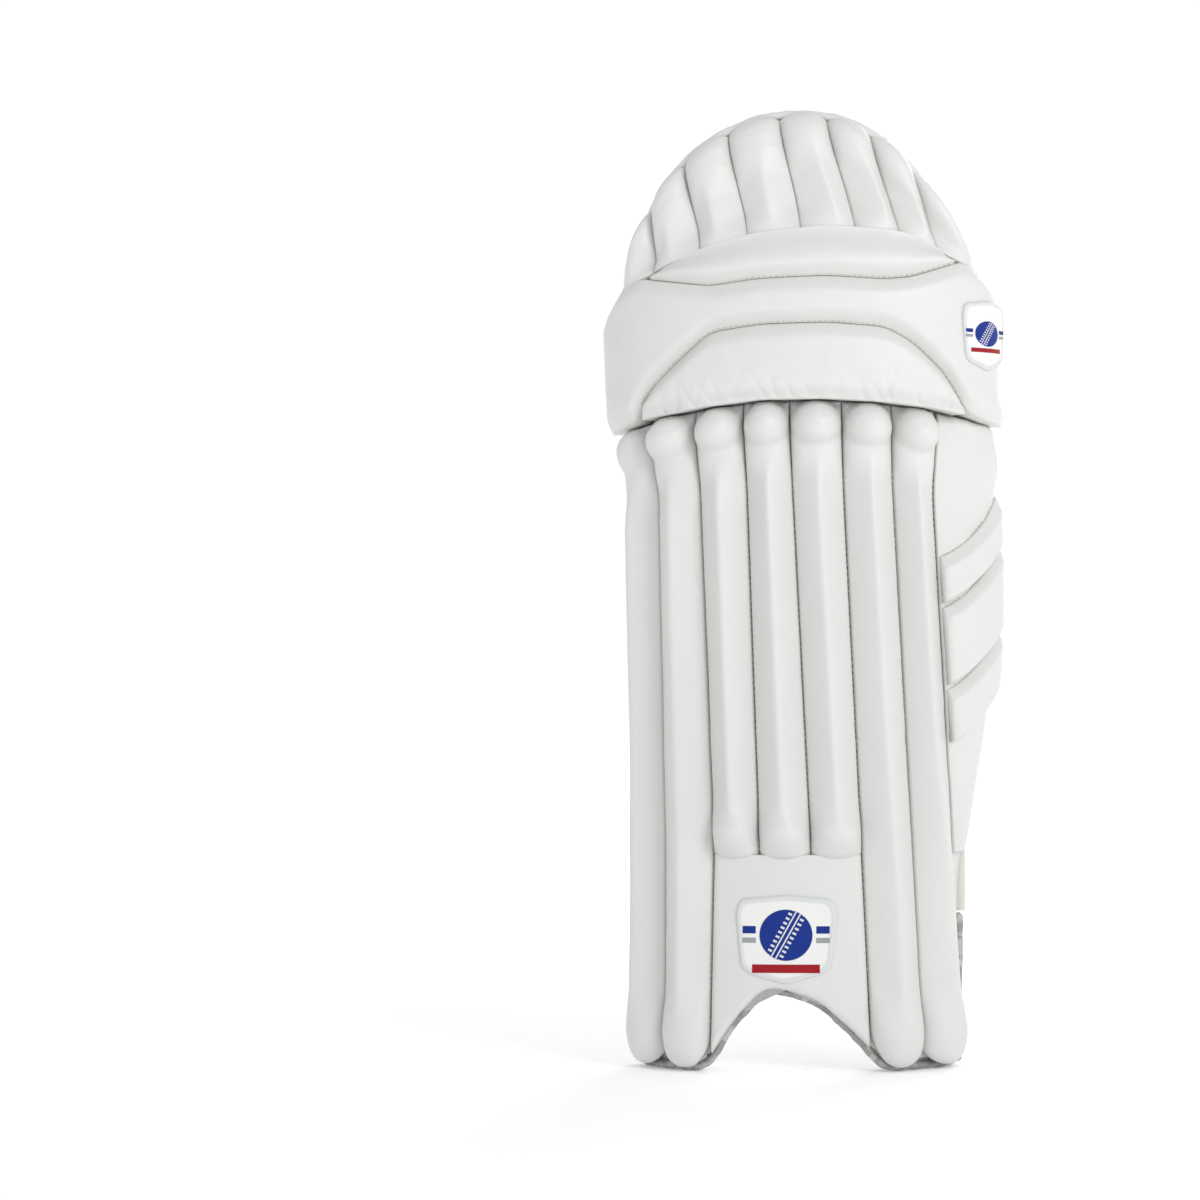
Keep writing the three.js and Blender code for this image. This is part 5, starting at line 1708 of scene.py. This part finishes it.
beside_foot = {"inner": (0.8 - RIM, -FOOT_BOLSTER_SIDE - 0.5), "outer": (FOOT_BOLSTER_SIDE + 0.5, RIM - 0.8)}
for seed, (side, sides) in enumerate(beside_foot.items()):
    name, ends = "foot_side_" + side, (over_binding, under_foot)
    lining(name, upright(*sides), ends, 1.6, MESH, "mesh_white", 11, 0.2, 155 + seed, nodes=())


def inner_stitching():
    """Stitches round the printed lining and up both rims, on the inside."""
    angle = np.linspace(-70, 70, 300)
    height = dome_inset(angle, 2 * WELT_RADIUS + 0.6)
    seen = height > bolster_line("high", angle) + 4
    stitched(angle[seen], height[seen], -BACKING_WALL - 0.2, way=-1)
    for side in (-1, 1):
        height = np.linspace(SHIN_BOLSTER_FOOT * PAD_HEIGHT + 8, under_knee(side * RIM) - 6, 200)
        stitched(side * (RIM - 3.5) + 0 * height, height, BOLSTER_FACE - WING_LINING_WALL + 0.3, 4.6, -1)


inner_stitching()
for seed, (name, strap) in enumerate(STRAPS.items()):
    strap_set(name, strap, 160 + 10 * seed)
simulate()
sew()

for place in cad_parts["backing"].material_slots:
    place.material = LEATHER


# Studio


NEAR_GLOW = (0.17, 0.17, 0.17, 1)
FAR_GLOW = (0.5, 0.5, 0.5, 1)
PAD_MIDDLE = (0, 0, 0.4)


def floor():
    """A wide round floor: rings from the middle out. It glows a little, more with the distance."""
    turn = np.linspace(0, 2 * np.pi, 97)[:-1]
    reach = np.array([1, 800, 2500, 9000])[:, None]
    points = np.stack([reach * np.sin(turn), reach * np.cos(turn), 0 * reach * turn], -1)
    f = Finish("studio_white", Roughness=0.9, Emission_Strength=1.0)
    away = f.node("ShaderNodeVectorMath", {"operation": "LENGTH"}, {0: f.place()}, "Value")
    distance_share = 1 - away.below(1.4, 1.0)
    f.paint("Base Color", f.mix(f.grain(2.0), colour(248, 248, 248), colour(245, 245, 245)))
    f.paint("Emission Color", f.mix(distance_share, NEAR_GLOW, FAR_GLOW))
    faces = quads(len(reach), len(turn), False, True)[:, ::-1].tolist() + [list(range(len(turn)))[::-1]]
    make_piece("studio_floor", points, faces, f.material)


def lamp(name, place, size, power):
    """A square soft light that faces the pad's middle."""
    data = bpy.data.lights.new(name, "AREA")
    data.energy, data.size = power, size
    light = bpy.data.objects.new(name, data)
    light.location = place
    light.rotation_euler = (Vector(PAD_MIDDLE) - Vector(place)).to_track_quat("-Z", "Y").to_euler()
    bpy.context.scene.collection.objects.link(light)


def sky():
    """White round the horizon, and dimmer overhead."""
    world = bpy.data.worlds.new("studio")
    world.use_nodes = True
    nodes = Nodes(world.node_tree)
    way = nodes.node("ShaderNodeTexCoord", output="Generated")
    up = nodes.node("ShaderNodeSeparateXYZ", None, {"Vector": way}, "Z")
    values = {"Value": up, "From Min": 0.15, "From Max": 0.4, "To Min": 1.02, "To Max": 0.72}
    strength = nodes.node("ShaderNodeMapRange", {"interpolation_type": "SMOOTHSTEP"}, values)
    background = world.node_tree.nodes["Background"]
    background.inputs["Color"].default_value = (1, 1, 1, 1)
    world.node_tree.links.new(strength.socket, background.inputs["Strength"])
    bpy.context.scene.world = world


floor()
lamp("key", (1.7, -2.3, 1.6), 1.0, 29)
lamp("back", (0.9, 2.4, 1.2), 1.6, 24)
sky()
bpy.context.scene.view_settings.view_transform = "Standard"

# The photograph shows 925 mm across the frame, the pad 206 of its 1200 pixels right of the middle
VIEW_WIDTH = 0.925
VIEW_SHIFT = -206 / 1200
CAMERA_HEIGHT = 0.362
CAMERA_DISTANCE = 3.0
SENSOR = 36
camera = bpy.data.objects.new("camera", bpy.data.cameras.new("camera"))
camera.data.sensor_width = SENSOR
camera.data.lens = SENSOR * CAMERA_DISTANCE / VIEW_WIDTH
camera.data.shift_x = VIEW_SHIFT
camera.location = (0, -CAMERA_DISTANCE, CAMERA_HEIGHT)
camera.rotation_euler = (np.pi / 2, 0, 0)
bpy.context.scene.collection.objects.link(camera)
bpy.context.scene.camera = camera
